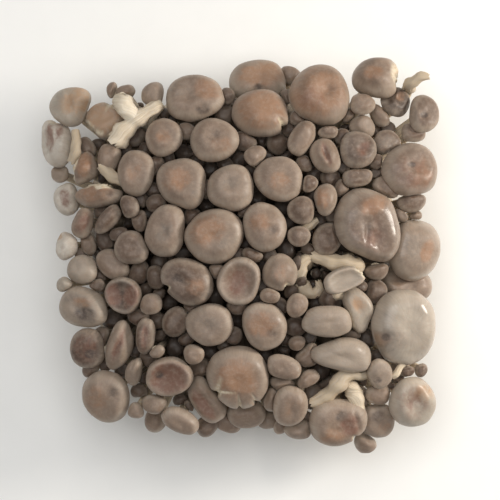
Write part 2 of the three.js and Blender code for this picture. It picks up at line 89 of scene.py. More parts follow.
# How the caps press on each other.
ROUND = 0.92               # how far a dome falls towards its rim
EASE = 0.02                # steps in which two caps are drawn in until one clears the other
NARROWEST = 0.42           # a pressed side keeps at least this share of its cap's radius
YIELD = SimpleNamespace(share=0.9, least=0.45)   # how much of a press the weaker cap takes, and what it keeps
WEIGHT = 0.3               # how much a cap's width counts against its height in that
UPRIGHT = 0.6              # a plane that leans more than this presses from above or below, not from beside
GAP = 0.08                 # clearance between two round caps
NEAR = 2.0                 # gap past which two neighbours can't press on each other
RIM_POINTS = 24            # points round a cap at which it is asked how far it would reach
PASSES = 4                 # times that a point is moved back behind the planes that press on it
LOOSE = 2.0                # a small cap stands at most this far from where its solid was drawn to
GRIP = 0.45                # share of a small cap's near side that its solid sinks into its leader's
CLING = 0.3                # how far under the leader's rim a small solid reaches, as a share of its height
RIM = 0.2                  # the widest ring is this share of a cap's height below its middle

# The butt and the stems.
BUTT = SimpleNamespace(foot=46.0, waist=52.0, neck=50.0, height=13.0, square=3.2)   # half widths and squareness
BUTT_TOP = SimpleNamespace(rise=2.0, shoulder=1.5, width=0.5)    # how it swells in the middle and round that
WAIST_AT = 0.55            # share of the butt's height at which it is widest
LUMPS = SimpleNamespace(size=0.02, slow=5, quick=8)              # waves round the butt
ROOT = SimpleNamespace(spread=0.66, inset=4.0, depth=3.0, knee=0.5, out=0.72)   # where stems leave it and bend
STEM = SimpleNamespace(thick=0.75, per_cap=0.17, swell=1.3, waist=1.1)          # half thickness, and its shares
TORN = SimpleNamespace(inset=0.93, drop=8.0, root=1.2, bend=1.05, tip=0.95)      # a lying stem's way up, and its shares
UNDER = SimpleNamespace(high=0.3, plain=0.05)                    # where a stem ends inside its cap
NEVER_ALONG = (0.3, -1, 0.05)   # a direction that no stem runs in
# The feet of stems fused round the butt: how unevenly they are set, how far they lean over a height, how
# thick and tall they are, and how deep they sit.
FEET = SimpleNamespace(apart=0.4, lean=2.5, thick=(1.5, 3.6), tall=(0.6, 1.25), inset=0.75, over=14)
FOOT_LINE = (              # a foot's way up the butt: half width, height and share of its thickness
    (BUTT.foot, -1, 1.1), (BUTT.waist, BUTT.height * WAIST_AT, 1.0), (BUTT.neck * 1.01, BUTT.height, 0.8),
    (BUTT.neck * 0.97, BUTT.height + 3, 0.5))
FLAT_BELOW = 0.45          # the butt's cut face is flat up to this height
DRUM_SIDES = 96            # sides of the butt before the feet are fused to it
SOFTEN = SimpleNamespace(factor=0.5, times=4)                    # how the fused feet are smoothed
STEM_STEPS = 8             # steps along a stem from each of its points to the next
NUMBERS = SimpleNamespace(feet=500, torn=700)                    # so that no two of them share their noise

# The buds in the gaps: where they are looked for, how deep, how wide, how turned and how many. Each round
# says how far into a stem a bud may press and how narrow it may be.
FILL = SimpleNamespace(x=2.0, y=-4.5, reach=58.0, step=1.0, least=0.7, most=150, deep=(8.5, 14.5), sink=3.0,
                       tuck=1.6, widest=4.2, longer=(1.0, 1.25), tilt=0.2, dark=0.6, waves=(6, 6, 1),
                       rounds=((0.7, 1.7), (1.6, 1.3)))

# How many spokes and steps a cap gets: a narrow one is a button with a plain underside.
SMALL = 9.0
LARGE = 17.0
STEPS = {"button": 1, "cap": 2, "large": 3}
PRESSED_FROM = 0.1         # the rings of a cap nearer its axis than this aren't pressed from beside

# The finish of the caps, as shares of a cap's own radius or height.
OWN = SimpleNamespace(rim=1.7, skin=5.3, lumps=2.3)              # steps through the noise from cap to cap
GRAIN = SimpleNamespace(frill=0.55, swell=0.8, ragged=0.16, pucker=2.2)         # spacing of each unevenness
GILLS = SimpleNamespace(below=0.28, inner=0.24, outer=0.78)      # the part of the underside that has gills
# A crease's depth and half width, between which radii it fades out, the height above which it is cut, and how
# near the middle it is shallower.
CREASE = SimpleNamespace(deep=0.1, wide=0.26, inner=0.35, outer=0.85, above=0.4, middle=0.3)
DIMPLE = SimpleNamespace(deep=0.8, wide=1.35)                    # a hollow's size, as shares of its row's
BLUNT = SimpleNamespace(rise=1.0, most=2.5)                      # how much squarer a long cap's outline is
BRIM = (0.45, 0.95)        # where the margin's waves begin, and where they are full
CURL = SimpleNamespace(below=0.9, third=0.6)                     # how high they reach, and the share of the finer
CORNER = 18                # a pressed corner is rounded over one part in this many of the spokes
FULL_LUMPS = 8             # radius in millimetres from which a cap has all its lumps
STAIN_EDGE = 0.8           # how far a stain reaches past its size: the less, the further
FOLD = SimpleNamespace(start=0.1, run=0.8)                       # the part of a sine that a fold's depth follows
CRACK = SimpleNamespace(inner=0.3, run=0.7, shows=(0.125, 0.75))  # its depth along it, and where its flesh shows
# A tear: how near its cap is to its row, how far in it starts, how deep one shows all its flesh, and where
# along the profile that flesh begins.
TEAR = SimpleNamespace(near=LOOSE + 0.1, start=0.4, bare=1 / 6, lip=0.95, wide=1.6, edge=0.12)
# Painted shade in the dimples and folds: how much darker they are per millimetre of depth, and at most.
SHADE = SimpleNamespace(per_mm=0.45, most=0.6)                   # how dark a dimple is
# Painted shade on the buds deep in the bunch: it is full on buds this much narrower than a small cap, between these
# depths under the crown, and from this far in from the edge.
PAINTED_BUD_SHADE = SimpleNamespace(small=2, depth=(4, 13), edge=0.2)        # which buds are in the dark, and how deep
SKIN_SPACE = (1, 1, 0.7)   # the space that the skin's patches are spread in
FIBRILS = 9                # how much finer its fibrils are than those

# The finish of the stems and of the butt.
# Ribs: spacing of the wide and fine ones, share of the fine ones on whole and torn stems, length, and steps
# through the noise from stem to stem.
RIBS = SimpleNamespace(wide=0.9, fine=0.3, share=0.35, torn=0.2, long=14, apart=3.1)
# Torn flesh: spacing of its crumbs, pits and bends, share of the pits, the half thickness from which its end
# has all its fibres, and how far they stand out.
CRUMB = SimpleNamespace(size=2.6, pit=0.55, bend=3.5, share=0.5, full=2.6, out=0.6)
FLARE_FROM = 0.86          # share of a stem's length from which it widens into its cap
FRAY_FROM = 0.94           # and from which torn flesh frays
DARK_INSIDE = 1 / 3        # share of the way in at which the inner flesh is in full shade
# Knobs on the butt: spacing of the wide and fine ones, share of the fine ones, how squat they are, how far
# over the foot they are full, and how much they lift.
KNOBS = SimpleNamespace(wide=4.2, fine=1.7, share=0.3, squat=0.5, from_foot=2, lift=0.5)
TOP_FROM = (-1.5, 0.5)     # between these, over its height, the butt's side turns into its top
# Painted shade on the butt: TOP_DARK says how far in its top begins to darken and where that is full, FOOT_SHADE the
# height above the foot over which its side darkens.
TOP_DARK = (-0.15, 0.1)    # how far in the butt's top begins to darken, and where it is dark
FOOT_SHADE = 5             # height over which the butt darkens from its foot
# The flesh's fibres: length, how many times as many run round the butt, and how far up a stem the butt reaches
# and torn flesh begins, for the stains at the foot.
FIBRES = SimpleNamespace(long=10, butt=16, foot=0.25, torn=0.5)

# The skin and the flesh: where along a cap's profile each band of it begins and is full (the crown is 0, the
# rim 1), the most that each colour covers, and how wet and rough the skin is.
BANDS = {"edge": (0.62, 0.97), "inner": (0.9, 0.62), "outer": (0.42, 0.72), "under": (1.07, 1.18),
         "upper": (1.1, 1.0)}
MOST = SimpleNamespace(cool=0.28, margin=(0.35, 0.6), heat=0.8, grey=0.8, stain=0.85, fibril=0.16, fleck=0.35,
                       gloom=0.85, blotch=0.35, earth=0.75)
SKIN = SimpleNamespace(rough=0.55, sheen=0.15, uneven=(-0.06, 0.08), dry=0.75, coat=0.6)

# The stage, in metres: each light's name, place and size.
FLOOR = SimpleNamespace(size=4, below=0.0002)
LIGHTS = (("key", (0.43, 0.09, 0.22), 0.13), ("top", (-0.15, 0.35, 1.6), 1.6))

# ---- The caps, from the top of the heap down --------------------------------------------------------
# Each row: x, y, length and width of the cap, turn of its length in degrees, form, tone, extra lean in x and y.
# Tones: m middling, l light, d dark, w warm, r reddish, p pale, b deep brown, k light and warm,
# g whitish grey with a painted haze of the wrapping film's sheen, n darkest, v dark and even.
CAPS = [
    (42.8, 6, 27.5, 20.8, 101, "crease", "b"),
    (55.2, -28, 24.7, 22.2, 90, "dome", "l"),
    (-1.2, -45, 21.4, 20, 90, "dome", "w"),
    (26.7, 51, 20.8, 20.5, 0, "dome", "b"),
    (6.4, 45, 19, 15.4, 0, "bud", "w"),
    (-16, 50, 20, 15.5, 10, "crease", "w"),
    (57.2, 25.4, 19, 18.8, 90, "dome", "b"),
    (58.5, -1.2, 21, 18, 90, "dome", "w"),
    (-46.2, -51.2, 18, 15.8, 90, "dome", "m"),
    (-24.6, -44.5, 15.5, 13, 0, "dish", "r"),
    (-53.8, -21.2, 16.6, 13.6, -18, "dome", "l"),
    (-48, 17.5, 18, 9.5, 4, "bud", "r"),
    (-53.5, 26, 12, 9, 75, "bud", "r"),
    (-58, 47.5, 15.5, 13.6, 0, "dome", "k"),
    (-46.5, 42.8, 14, 13, 20, "crease", "k"),
    (33.4, -36.8, 21.5, 11.5, -8, "dome", "p"),
    (28.7, -26, 17, 10.5, 0, "dome", "p"),
    (39, -22.2, 16, 11, -55, "dome", "p"),
    (34.6, -11.6, 14.5, 8, 20, "dish", "p"),
    (58.2, -53.4, 17.2, 15.8, 90, "crease", "k"),
    (32.5, -60.2, 19, 16, 0, "crease", "r"),
    (46, -59.5, 12.6, 12.4, 0, "dome", "m"),
    (-12, -52.5, 17, 10, -55, "crease", "r"),
    (16.3, -54.5, 13.5, 11.5, 90, "dome", "m"),
    (15.3, -41, 11.8, 7.8, -12, "dome", "m"),
    (-36, 24.5, 15, 12.5, 90, "dome", "m"),
    (-37, -1, 12, 11.5, 0, "dome", "d"),
    (-43.5, -6.5, 12, 9.5, 160, "dome", "m"),
    (-54.4, -8.4, 10.2, 9.8, 0, "bud", "l"),
    (-40, -17, 12.3, 12, 0, "dish", "v"),
    (-52.3, -35, 14, 12, 90, "dome", "n"),
    (-41.5, -34, 17, 9, 70, "bud", "m"),
    (-32.7, -31, 12, 6.5, 85, "bud", "d"),
    (45.8, 57.8, 17, 14.3, 0, "bud", "w", -0.5, 0.1),
    (52.4, 49.3, 10.6, 9.8, 90, "dome", "v"),
    (62, 45, 12.6, 10.3, 90, "dome", "d"),
    (39.2, 32.3, 13, 12, 90, "dome", "v"),
    (28.2, 30.3, 12, 9.5, -70, "bud", "m"),
    (12.5, 22.3, 16, 15, 0, "dome", "m"),
    (-9.5, 35.5, 15.5, 15, 0, "dome", "m"),
    (-26.5, 36.5, 13, 12, 30, "dome", "m"),
    (29, 2, 11, 10, 60, "dome", "d"),
    (20, 11.6, 9.4, 9, 0, "bud", "d"),
    (27.4, 15.7, 10.5, 8, 90, "bud", "w"),
    (-63.4, 35.6, 18.4, 11, 95, "dome", "g", -0.35, 0),
    # the crowded middle
    (-20, 20.5, 18.5, 16, 120, "dome", "w"),
    (-4, 19, 16.5, 15, 20, "dome", "m"),
    (-25.5, 4.5, 17, 14.5, 70, "dome", "m"),
    (-9.5, 3, 20, 17.5, 30, "dome", "w"),
    (7.5, 6, 16, 14.5, 110, "dome", "m"),
    (-18.5, -12.5, 17.5, 15, 150, "dome", "d"),
    (-1, -12.5, 16, 14, 60, "dish", "r"),
    (-11, -27, 15.5, 14, 20, "dome", "m"),
    (7.5, -27.5, 16, 14.5, 100, "dome", "w"),
    (12.8, -9.5, 12.5, 11, 70, "bud", "m"),
    (-22.2, -26, 10.5, 9, 40, "bud", "d"),
    (-29, -11, 8, 6.5, 100, "bud", "d"),
    # a layer lower
    (5.5, 56, 19.5, 15, 0, "dome", "w"),
    (56.5, -13.2, 17, 13, 0, "dome", "m"),
    (-60, 16, 11.2, 8.8, 100, "bud", "g", -0.2, 0),
    (-53.4, 8.2, 12, 7.5, 60, "bud", "r"),
    (-45, 8.5, 13, 5.5, 50, "bud", "d"),
    (-61.5, 2.6, 10, 7.2, 90, "bud", "g", -0.2, 0),
    (1.2, -57.2, 12.6, 11.2, 0, "dome", "m", 0, -0.2),
    (-21, -59.5, 13, 8, -30, "dome", "m", 0, -0.2),
    (46.2, -43.6, 10, 9.5, 90, "dome", "l"),
    (22, -37, 9, 8.5, 90, "bud", "m"),
    (42.3, -67.2, 8.6, 7.8, 90, "bud", "m", 0, -0.2),
    (45.7, -8, 8.4, 7.4, 0, "bud", "m"),
    (57.3, 15.4, 10.5, 8.2, 0, "bud", "d"),
    (49.6, 34.5, 10, 9.5, 0, "dome", "d"),
    (48.5, 18.8, 9.5, 9, 0, "dome", "m"),
    (38.9, 23.2, 10.1, 8, 0, "dome", "d"),
    (41, 40.4, 8.5, 8, 0, "bud", "m"),
    (40.8, 48, 8.4, 7.4, 0, "bud", "m"),
    (58.4, 38.6, 8.6, 6.6, 0, "bud", "d"),
    (20.3, 36, 12.5, 8, 60, "bud", "r"),
    (-29.4, -53.8, 9, 6.5, 0, "bud", "m"),
    (19.5, -62.5, 10, 7, 0, "bud", "m", 0, -0.2),
    (-45, 29.5, 12, 8, 80, "bud", "m"),
    (-47.5, -31.5, 8, 6, 90, "bud", "d"),
    (-36, -43.5, 10.5, 5.5, 80, "bud", "m"),
    (-38, 13, 8, 6, 100, "bud", "d"),
    (47, 44.8, 8.5, 6.5, -60, "bud", "w"),
    (9.8, -52, 9, 5.5, 90, "bud", "m"),
    (22.3, -44.8, 8, 5.5, 30, "bud", "m"),
    (-31, -20, 8, 7, 0, "bud", "r"),
    (-35, -24.5, 7.5, 6, 0, "bud", "d"),
    (-19, 38.5, 6.5, 6, 0, "bud", "m"),
    # buds deep in the gaps
    (-31, 50.8, 9.6, 7.6, 80, "bud", "w"),
    (-38.5, 53.2, 6.6, 6.4, 0, "bud", "r"),
    (-43.5, 54.5, 5.5, 4.5, 90, "bud", "w"),
    (-52.5, 33, 9, 5, -60, "bud", "r"),
    (-62.3, 24.6, 6.5, 6, 0, "bud", "l", -0.2, 0),
    (-34.5, 7.8, 8, 5, 100, "bud", "d"),
    (-41.6, 3.6, 6.5, 4.8, 10, "bud", "d"),
    (-52, 1, 8, 5, 100, "bud", "m"),
    (-49.5, -13.8, 6, 5.5, 0, "bud", "d"),
    (-60, -13.4, 6.4, 5.6, 20, "bud", "l", -0.2, 0),
    (-51.5, -42, 7, 6, 60, "bud", "d", -0.2, 0),
    (-28.8, -35.8, 5.5, 4.5, 0, "bud", "m"),
    (-16.3, -37, 7, 6.5, 0, "bud", "m"),
    (-36, -56, 6, 5.5, 0, "bud", "m"),
    (8.8, -59.6, 7.4, 6.4, 0, "bud", "w", 0, -0.2),
    (13.6, -46.9, 8.2, 5, -15, "bud", "m"),
    (17.8, -33, 5.6, 5, 0, "bud", "r"),
    (56, -42.2, 5.6, 5.4, 0, "bud", "d"),
    (60.7, -42.3, 5, 5, 0, "bud", "d"),
    (45.7, 28.3, 5.6, 5, 0, "bud", "d"),
    (36, 44.5, 6, 5.4, 0, "bud", "m"),
    (16, 58.5, 8, 7, 0, "bud", "m"),
    (-5.5, 50.5, 6.4, 6, 0, "bud", "d"),
    (18.5, 43, 5.4, 5, 0, "bud", "r"),
    (29, 38.5, 6.5, 6, 0, "bud", "d"),
    (21.5, 27.6, 6.4, 6, 0, "bud", "d"),
    (22.5, 20.6, 6, 5.6, 0, "bud", "d"),
    (33.8, 19, 6.4, 5, 90, "bud", "w"),
    (20.6, 2.4, 7.4, 7, 0, "bud", "d"),
    (33.8, 36.8, 6, 5.6, 0, "bud", "d"),
    (-12, 19, 7, 6, 90, "bud", "d"),
    (4.5, 30, 7.5, 6.5, 40, "bud", "m"),
    (-29, 14, 7, 6.4, 0, "bud", "d"),
    (-16.5, 9.5, 6.5, 6, 0, "bud", "d"),
    (1, 11.5, 6, 5.6, 0, "bud", "d"),
    (-29.5, 27, 6.6, 6, 60, "bud", "d"),
    (3.5, -3.5, 7, 6.4, 0, "bud", "d"),
    (-8.8, -8.5, 6.4, 6, 0, "bud", "m"),
    (-1.5, -20.4, 7, 6.4, 0, "bud", "d"),
    (-17.5, -21.2, 6.4, 6, 0, "bud", "d"),
    (9.4, -17.4, 6.6, 6, 30, "bud", "m"),
    (-3, -30.5, 6.4, 6, 0, "bud", "d"),
    (18.5, -20.5, 8, 7, 60, "bud", "m"),
    (-4.6, -59.6, 10.8, 8.6, -15, "dome", "m", 0, -0.2),
    (46.4, -50.6, 8.4, 7.4, 0, "bud", "r"),
]

# Bent and torn stems that lie between the caps: x, y of the two ends, their height and half thickness.
LYING = [
    (-33, 45, -43, 36.8, 35, 33.5, 2.9),
    (-40, 50, -40, 44.5, 36, 35.5, 2.5),
    (37.5, -5, 24.5, -6.5, 33, 34, 2.4),
    (22.5, -6.5, 21.5, -17.5, 34, 32, 2.6),
    (40.5, -46.5, 26.5, -50.5, 31, 30, 2.4),
    (60, 56.5, 55.4, 55.6, 26, 28, 2.6),
]

# How each lying stem really looks: the points that its torn flesh runs through, each with its half thickness.
TORN_FLESH = [
    [(-28, 47.2, 34.4, 1.8), (-32, 44.8, 35.2, 2.4), (-36, 42, 35.2, 2.7), (-39.4, 38.8, 35, 3.0),
     (-41.4, 36.4, 34.6, 3.9), (-43, 35, 34.2, 3.0)],
    [(-40.8, 48.6, 35.4, 2.4), (-39.8, 47, 36, 3.2), (-38, 44.8, 36, 3.3), (-36.4, 42.6, 35.2, 2.4)],
    [(39, -7.4, 33.2, 2.6), (35, -6.4, 33.8, 3.1), (29.6, -5.2, 34, 2.6), (23.8, -3.8, 33.8, 1.8)],
    [(21.8, -4.6, 34, 2.0), (19.4, -8, 34, 2.4), (20, -13.4, 33.6, 2.3), (23.2, -16.2, 33, 2.1),
     (26, -14.6, 33, 1.7), (25.8, -12.6, 33.4, 1.2)],
    [(42, -43.2, 28.8, 1.5), (39.8, -44.2, 31, 1.3), (37.2, -43.6, 31.6, 1.7), (34.4, -44, 32, 2.6),
     (32, -47.2, 31.6, 3.0), (29, -50.4, 31, 2.4), (24, -53, 30, 1.8)],
    [(56.4, 54.6, 26, 1.8), (58.4, 56.2, 27.8, 1.9), (60.4, 57, 28.4, 1.6), (62.6, 57.4, 28.6, 1.0)],
]

# Slips of torn flesh between the caps, in the same way.
SLIPS = [
    [(25.4, 8.6, 35.6, 1.1), (22.6, 6.8, 35.6, 1.5), (19.4, 4.4, 35, 1.9)],
    [(36, -45.2, 28, 1.2), (36.8, -47.6, 29, 2.6), (38.2, -51.6, 29.2, 2.9), (39.6, -55.2, 28.2, 1.8)],
    [(50.6, -44.6, 29.4, 1.2), (52.4, -42.6, 29.6, 1.6), (54, -40.4, 29.2, 1.1)],
    [(-56.4, 38.6, 30.8, 1.4), (-56, 35.6, 32, 1.6), (-56.2, 31.6, 32.4, 1.7), (-57.4, 28.6, 31.8, 1.5)],
    [(-38.4, 19.2, 34.4, 1.1), (-41.2, 21.6, 35.6, 1.7), (-44.4, 23.6, 36, 2.0), (-47.2, 26.6, 35.6, 1.4)],
    [(28.4, -17.8, 33, 1.1), (31.4, -17, 33.4, 1.7), (34.2, -17.2, 33, 1.2)],
]

# How freshly torn each of these is, the lying stems first: 1 is white, -1 is dried.
FRESHNESS = (0.4, 1, -0.7, -0.6, -0.6, -0.8, -0.5, 0.2, -0.3, -1, -0.8, -0.5)

# Small hollows in the caps: x, y, depth and half width.
DIMPLES = [
    (48.3, -31, 1.3, 1.5), (29.5, 53, 1.0, 1.3), (42.2, 7.5, 0.7, 1.5), (-27.8, -43.5, 0.9, 1.4),
    (-43.4, -49.5, 0.5, 1.6), (-53, -24, 0.7, 1.6), (61.5, 44, 0.9, 1.1), (40.6, 32.4, 0.9, 1.5),
    (57, 27, 0.9, 1.3), (5.5, 53.5, 1.2, 1.3), (-13, 45.5, 0.7, 1.3), (-8.2, 45.8, 0.8, 0.8),
    (33.4, -57.7, 0.9, 1.6), (45.6, -57.8, 0.9, 1.4), (45.6, -45.4, 0.8, 1.0), (56.7, -53, 0.6, 1.6),
    (-51, -36.5, 0.7, 1.4), (-44.8, 17.2, 0.7, 1.2), (-9.8, 36.6, 0.6, 1.2), (-4.8, 21.2, 0.6, 1.2),
    (10.2, 4.6, 0.6, 1.3), (-21.6, -11.4, 0.8, 1.4), (9.8, -29.6, 0.7, 1.2), (14.5, 24.4, 0.6, 1.2),
    (-36.4, 0, 0.5, 1.1), (-61.7, 2.9, 0.5, 0.9), (52.5, 50.3, 0.5, 1.0), (57.6, -15, 0.6, 1.2),
    (-58.6, 45.2, 0.4, 1.3),
]

# Stains on the caps, by kind, the dark kind partly painted shade: x, y, half length, half width, turn in degrees and
# strength.
STAINS = {
    "warm": [
        (44.2, 13.2, 4.4, 2.8, 20, 0.9), (45.8, -31.8, 4, 2.6, 0, 0.55), (62.6, -1.9, 1.9, 3.2, -20, 1),
        (61, 24, 3.2, 5.6, -15, 0.6), (61.4, -49.8, 2.8, 2.8, 0, 0.8), (31, -64, 5, 2.4, 15, 0.65),
        (48.5, -61, 2.4, 2, 0, 0.5), (39.2, -20, 3, 2.2, -50, 0.7), (-55.6, 48.6, 5.4, 4.6, 30, 0.8),
        (-46.8, 43.2, 5.6, 5, 0, 1), (-50.4, 18.6, 7, 4, 10, 0.65), (-53.2, 27.2, 3.6, 2.2, 75, 1),
        (-61.7, 2.9, 1.3, 1.1, 0, 0.9), (-49, -52, 4, 5, 0, 0.5), (-53.5, -19.4, 3.4, 1.6, -10, 0.6),
        (-1.6, -44.8, 6, 5.4, 0, 1), (6.4, 45.6, 7.6, 6, 0, 0.9), (6.8, 57.8, 7.4, 3.8, 5, 1),
        (-11.6, 52, 4.6, 3, -20, 0.8), (25.4, 51.2, 8.8, 8.2, 20, 0.8), (44.4, 58.6, 3, 2.2, 0, 0.9),
        (53.6, 50.4, 1.7, 1.5, 0, 0.6), (27, 15.6, 2.2, 3.2, 0, 0.9), (-21.6, 21.8, 4.4, 3.6, 30, 0.8),
        (-6.4, 33.6, 3.4, 2.4, 0, 0.6), (-26.5, 36, 3, 2.4, 30, 0.6), (12.4, 21.4, 4, 3, 0, 0.6),
        (-11.6, 4.4, 5.2, 4.2, 30, 0.9), (5.6, 7.2, 3.6, 2.8, 0, 0.7), (-15.6, -14, 3.4, 3, 0, 0.6),
        (6.2, -26.6, 4.4, 3.6, 0, 0.9), (12.8, -9.5, 3, 2.2, 60, 0.5), (-36, 24.6, 3, 3.4, 0, 0.5),
        (16.6, -54, 3, 3.4, 0, 0.4),
    ],
    "red": [
        (43.8, 2.2, 4.6, 3.2, 10, 0.6), (57.2, 23.5, 6.5, 7.5, 0, 0.45), (42.2, 5, 7.5, 11, 10, 0.35),
        (57.5, -53, 6, 5.6, 0, 0.5), (36.3, -60.6, 2.8, 3.2, 0, 0.9), (-65.2, 37, 1.4, 4.6, 4, 0.8),
        (-61.9, 38.6, 1.3, 3.6, -6, 0.7), (-59.8, 16, 2.8, 1.7, 100, 0.85), (-53.5, 7.6, 3.4, 1.7, 60, 0.8),
        (-52.3, -34.6, 5, 4.4, 80, 0.6), (-24.4, -44.6, 5.8, 4.4, 0, 1), (-43, -17, 2.4, 3.4, 10, 1),
        (-37.2, -17.4, 2.4, 3.6, -10, 1), (-41.5, -34, 5.6, 1.4, 70, 0.75), (-32.7, -31, 4, 1.1, 85, 0.75),
        (-13.1, -53.8, 4.8, 1.8, -52, 1), (23.6, 49.8, 4.6, 4.2, 0, 0.5), (40.8, 32.4, 2.4, 1.8, 60, 0.8),
        (28.4, 30.2, 4, 1.1, -70, 0.8), (-1.4, -12.6, 4.4, 3.4, 60, 0.8),
    ],
    "grey": [
        (40.5, 8, 3.2, 6.5, 20, 0.7), (50.5, -33, 7, 3.5, 20, 0.5), (57.2, -0.5, 3.4, 4, 0, 0.7),
        (56.6, -53, 2.0, 1.8, 0, 0.5), (-55.5, -18.8, 5, 2.6, -15, 0.6), (5.4, -44, 2, 6, 0, 0.5),
        (-20.5, 52.5, 4, 2.4, 15, 0.6), (32.6, 46.5, 3, 4, 40, 0.6), (49.6, 34.5, 3.4, 3, 0, 0.7),
        (-15.6, 17.6, 2.2, 3.4, 20, 0.6), (-4.6, 20.6, 3, 2.2, 0, 0.6), (-26, 4, 3.6, 2.6, 60, 0.7),
        (-5, 0, 3, 4, 30, 0.5), (-12, -26.4, 4, 3, 20, 0.6),
    ],
    # dark: darker spots, partly the caps' own colour and partly painted shade: in the dimples, in the crease of the cap
    # at 42.8, 6, on the left side of the cap at 55.2, -28 and over the lit right side of the cap at 32.5, -60.2.
    "dark": [
        (41.9, 5.4, 1.8, 4.4, 5, 0.5), (48.3, -31, 1.4, 1.1, 0, 0.9), (52, 26, 3, 5, 10, 0.3),
        (47, -28.5, 4.5, 9, 5, 0.4), (57, 27, 1.2, 0.9, 0, 1), (33.2, -57.6, 1.9, 1.5, 20, 0.75),
        (38.6, -58.6, 2.6, 3, 0, 0.25), (45.6, -57.8, 2.4, 1.8, 20, 0.55), (45.6, -45.4, 1.3, 0.9, 0, 0.7),
        (-44.6, 17.2, 1.6, 1.3, 0, 0.5), (-43.4, -49.6, 2.2, 1.6, 10, 0.55), (-51, -36.6, 1.8, 1.4, 0, 0.9),
        (-27.8, -43.5, 1.5, 1.2, 0, 0.8), (-52.6, -23.6, 3.6, 2.4, -10, 0.8), (5.5, 53.6, 1.6, 1.2, 0, 0.8),
        (-13, 45.6, 2.4, 1.7, 10, 0.7), (61.5, 44, 1.2, 1, 0, 0.9), (39.9, 32.6, 1.4, 0.9, 90, 0.5),
        (57.6, -14.8, 3, 2, 0, 0.4), (-9.8, 36.6, 2.6, 1.8, 20, 0.45), (10.2, 4.6, 2.4, 1.6, 40, 0.5),
        (-21.6, -11.4, 2.4, 1.7, -30, 0.6), (9.8, -29.6, 1.9, 1.4, 0, 0.5),
    ],
}

# Torn margins that show pale flesh: x, y of the cap, and the way, half width in degrees and depth of the tear.
TEARS = [
    (-48, 17.5, 70, 46, 0.55), (-48, 17.5, 120, 40, 0.3), (-53.5, 26, 165, 60, 0.42),
    (-46.5, 42.8, 215, 34, 0.2), (-46.5, 42.8, 60, 30, 0.22), (-1, -45, 212, 9, 0.16),
    (-1, -45, 272, 3.5, 0.14), (-1, -45, 306, 3.5, 0.12), (32.5, -60.2, 318, 9, 0.2),
    (34.6, -11.6, 30, 40, 0.18), (39, -22.2, 215, 40, 0.15), (-63.8, 35, 90, 30, 0.15),
    (12.8, -9.5, 300, 14, 0.2), (-18.5, -12.5, 200, 8, 0.18), (45.8, 57.8, 12, 40, 0.15),
    (6.4, 45, 322, 8, 0.17),
]

# Fold lines on the caps: x, y of the two ends, depth and half width.
FOLDS = [
    (42.4, 9, 41.8, 0.5, 0.8, 0.8), (37.6, -54.6, 40, -63.5, 0.9, 0.7), (27.2, 33.6, 29.4, 26.8, 1.0, 0.8),
    (50.5, -59, 55, -60.5, 0.5, 0.6), (-23.5, 53.5, -14.5, 54.6, 0.5, 0.8),
    (-42.9, -38.5, -40.2, -29.5, 0.8, 0.8), (-33, -34.5, -32.4, -27.5, 0.7, 0.7),
    (43, -23.5, 40.5, -27.6, 0.5, 0.7), (23.4, -35.4, 30, -34.6, 0.3, 0.9), (53, -36.4, 59, -36.8, 0.35, 0.45),
    (-59.5, 52.5, -56.5, 42.5, 0.4, 0.9), (46.5, -1.8, 50.5, 1.6, 0.4, 0.8),
]

# Splits in a cap that show pale flesh: x, y of the two ends, depth and half width.
CRACKS = [
    (-1.3, -50.4, -0.2, -56.2, 1.3, 0.5), (3.4, -50.2, 5.6, -54.2, 1.0, 0.45),
    (-7.0, -44.6, -8.9, -50.4, 1.1, 0.9), (-2.2, -49.8, -7.2, -49.3, 0.5, 0.45),
    (-46.2, 45.4, -45.0, 48.6, 1.0, 0.7), (-52.4, 39.6, -47.6, 38.0, 0.8, 0.8),
]

# ---- Cap profiles: radius and height as shares of the cap's own, from the crown out, round and under -
TOPS = {
    "dome": [(0, 0.93), (0.15, 0.945), (0.3, 0.97), (0.5, 0.95), (0.68, 0.88), (0.83, 0.755), (0.94, 0.56)],
    "crease": [(0, 0.87), (0.15, 0.89), (0.3, 0.94), (0.5, 0.95), (0.68, 0.885), (0.83, 0.76), (0.94, 0.56)],
    "dish": [(0, 0.61), (0.15, 0.615), (0.38, 0.65), (0.59, 0.745), (0.74, 0.845), (0.86, 0.86), (0.95, 0.71)],
    "bud": [(0, 0.98), (0.2, 0.97), (0.4, 0.935), (0.58, 0.86), (0.75, 0.735), (0.87, 0.59), (0.95, 0.45)],
}
MARGIN = [(1, 0.26), (0.985, 0.12), (0.94, 0.025), (0.88, 0.0), (0.82, 0.045)]
GILLED = [(0.75, 0.1), (0.6, 0.12), (0.45, 0.17), (0.32, 0.25), (0.22, 0.3), (0, 0.3)]
PLAIN = [(0.72, 0.04), (0.5, 0.05), (0.25, 0.05), (0, 0.05)]
HEIGHTS = {"dome": 0.43, "crease": 0.42, "dish": 0.36, "bud": 0.56}

# How light, warm, patchy and wet a cap of each tone is.
TONES = {
    "m": (0.5, 0.5, 0.6, 0.1),
    "l": (0.8, 0.45, 0.5, 0.2),
    "d": (0.05, 0.4, 0.5, 0.1),
    "w": (0.6, 0.95, 1.0, 0.2),
    "r": (0.4, 1.0, 1.0, 0.1),
    "p": (0.8, 0.15, 0.3, 0.2),
    "b": (0.25, 0.9, 0.9, 0.15),
    "k": (1.0, 0.8, 0.9, 0.25),
    "g": (1.3, 0.2, 0.4, 0.1),
    "n": (-0.3, 1.0, 0.8, 0.1),
    "v": (-0.2, 0.3, 0.4, 0.1),
}
WET = SimpleNamespace(x=54.0, y=-14.0, reach=34.0, most=0.75, narrow=11.0, wide=17.0)   # where the caps are wettest
TONED = ("light", "heat", "patch", "wet", "gloom")               # what is the same all over a cap


# ---- Small sums -------------------------------------------------------------------------------------
def unit(vector):
    vector = np.asarray(vector, float)
    return vector / np.sqrt(vector @ vector)


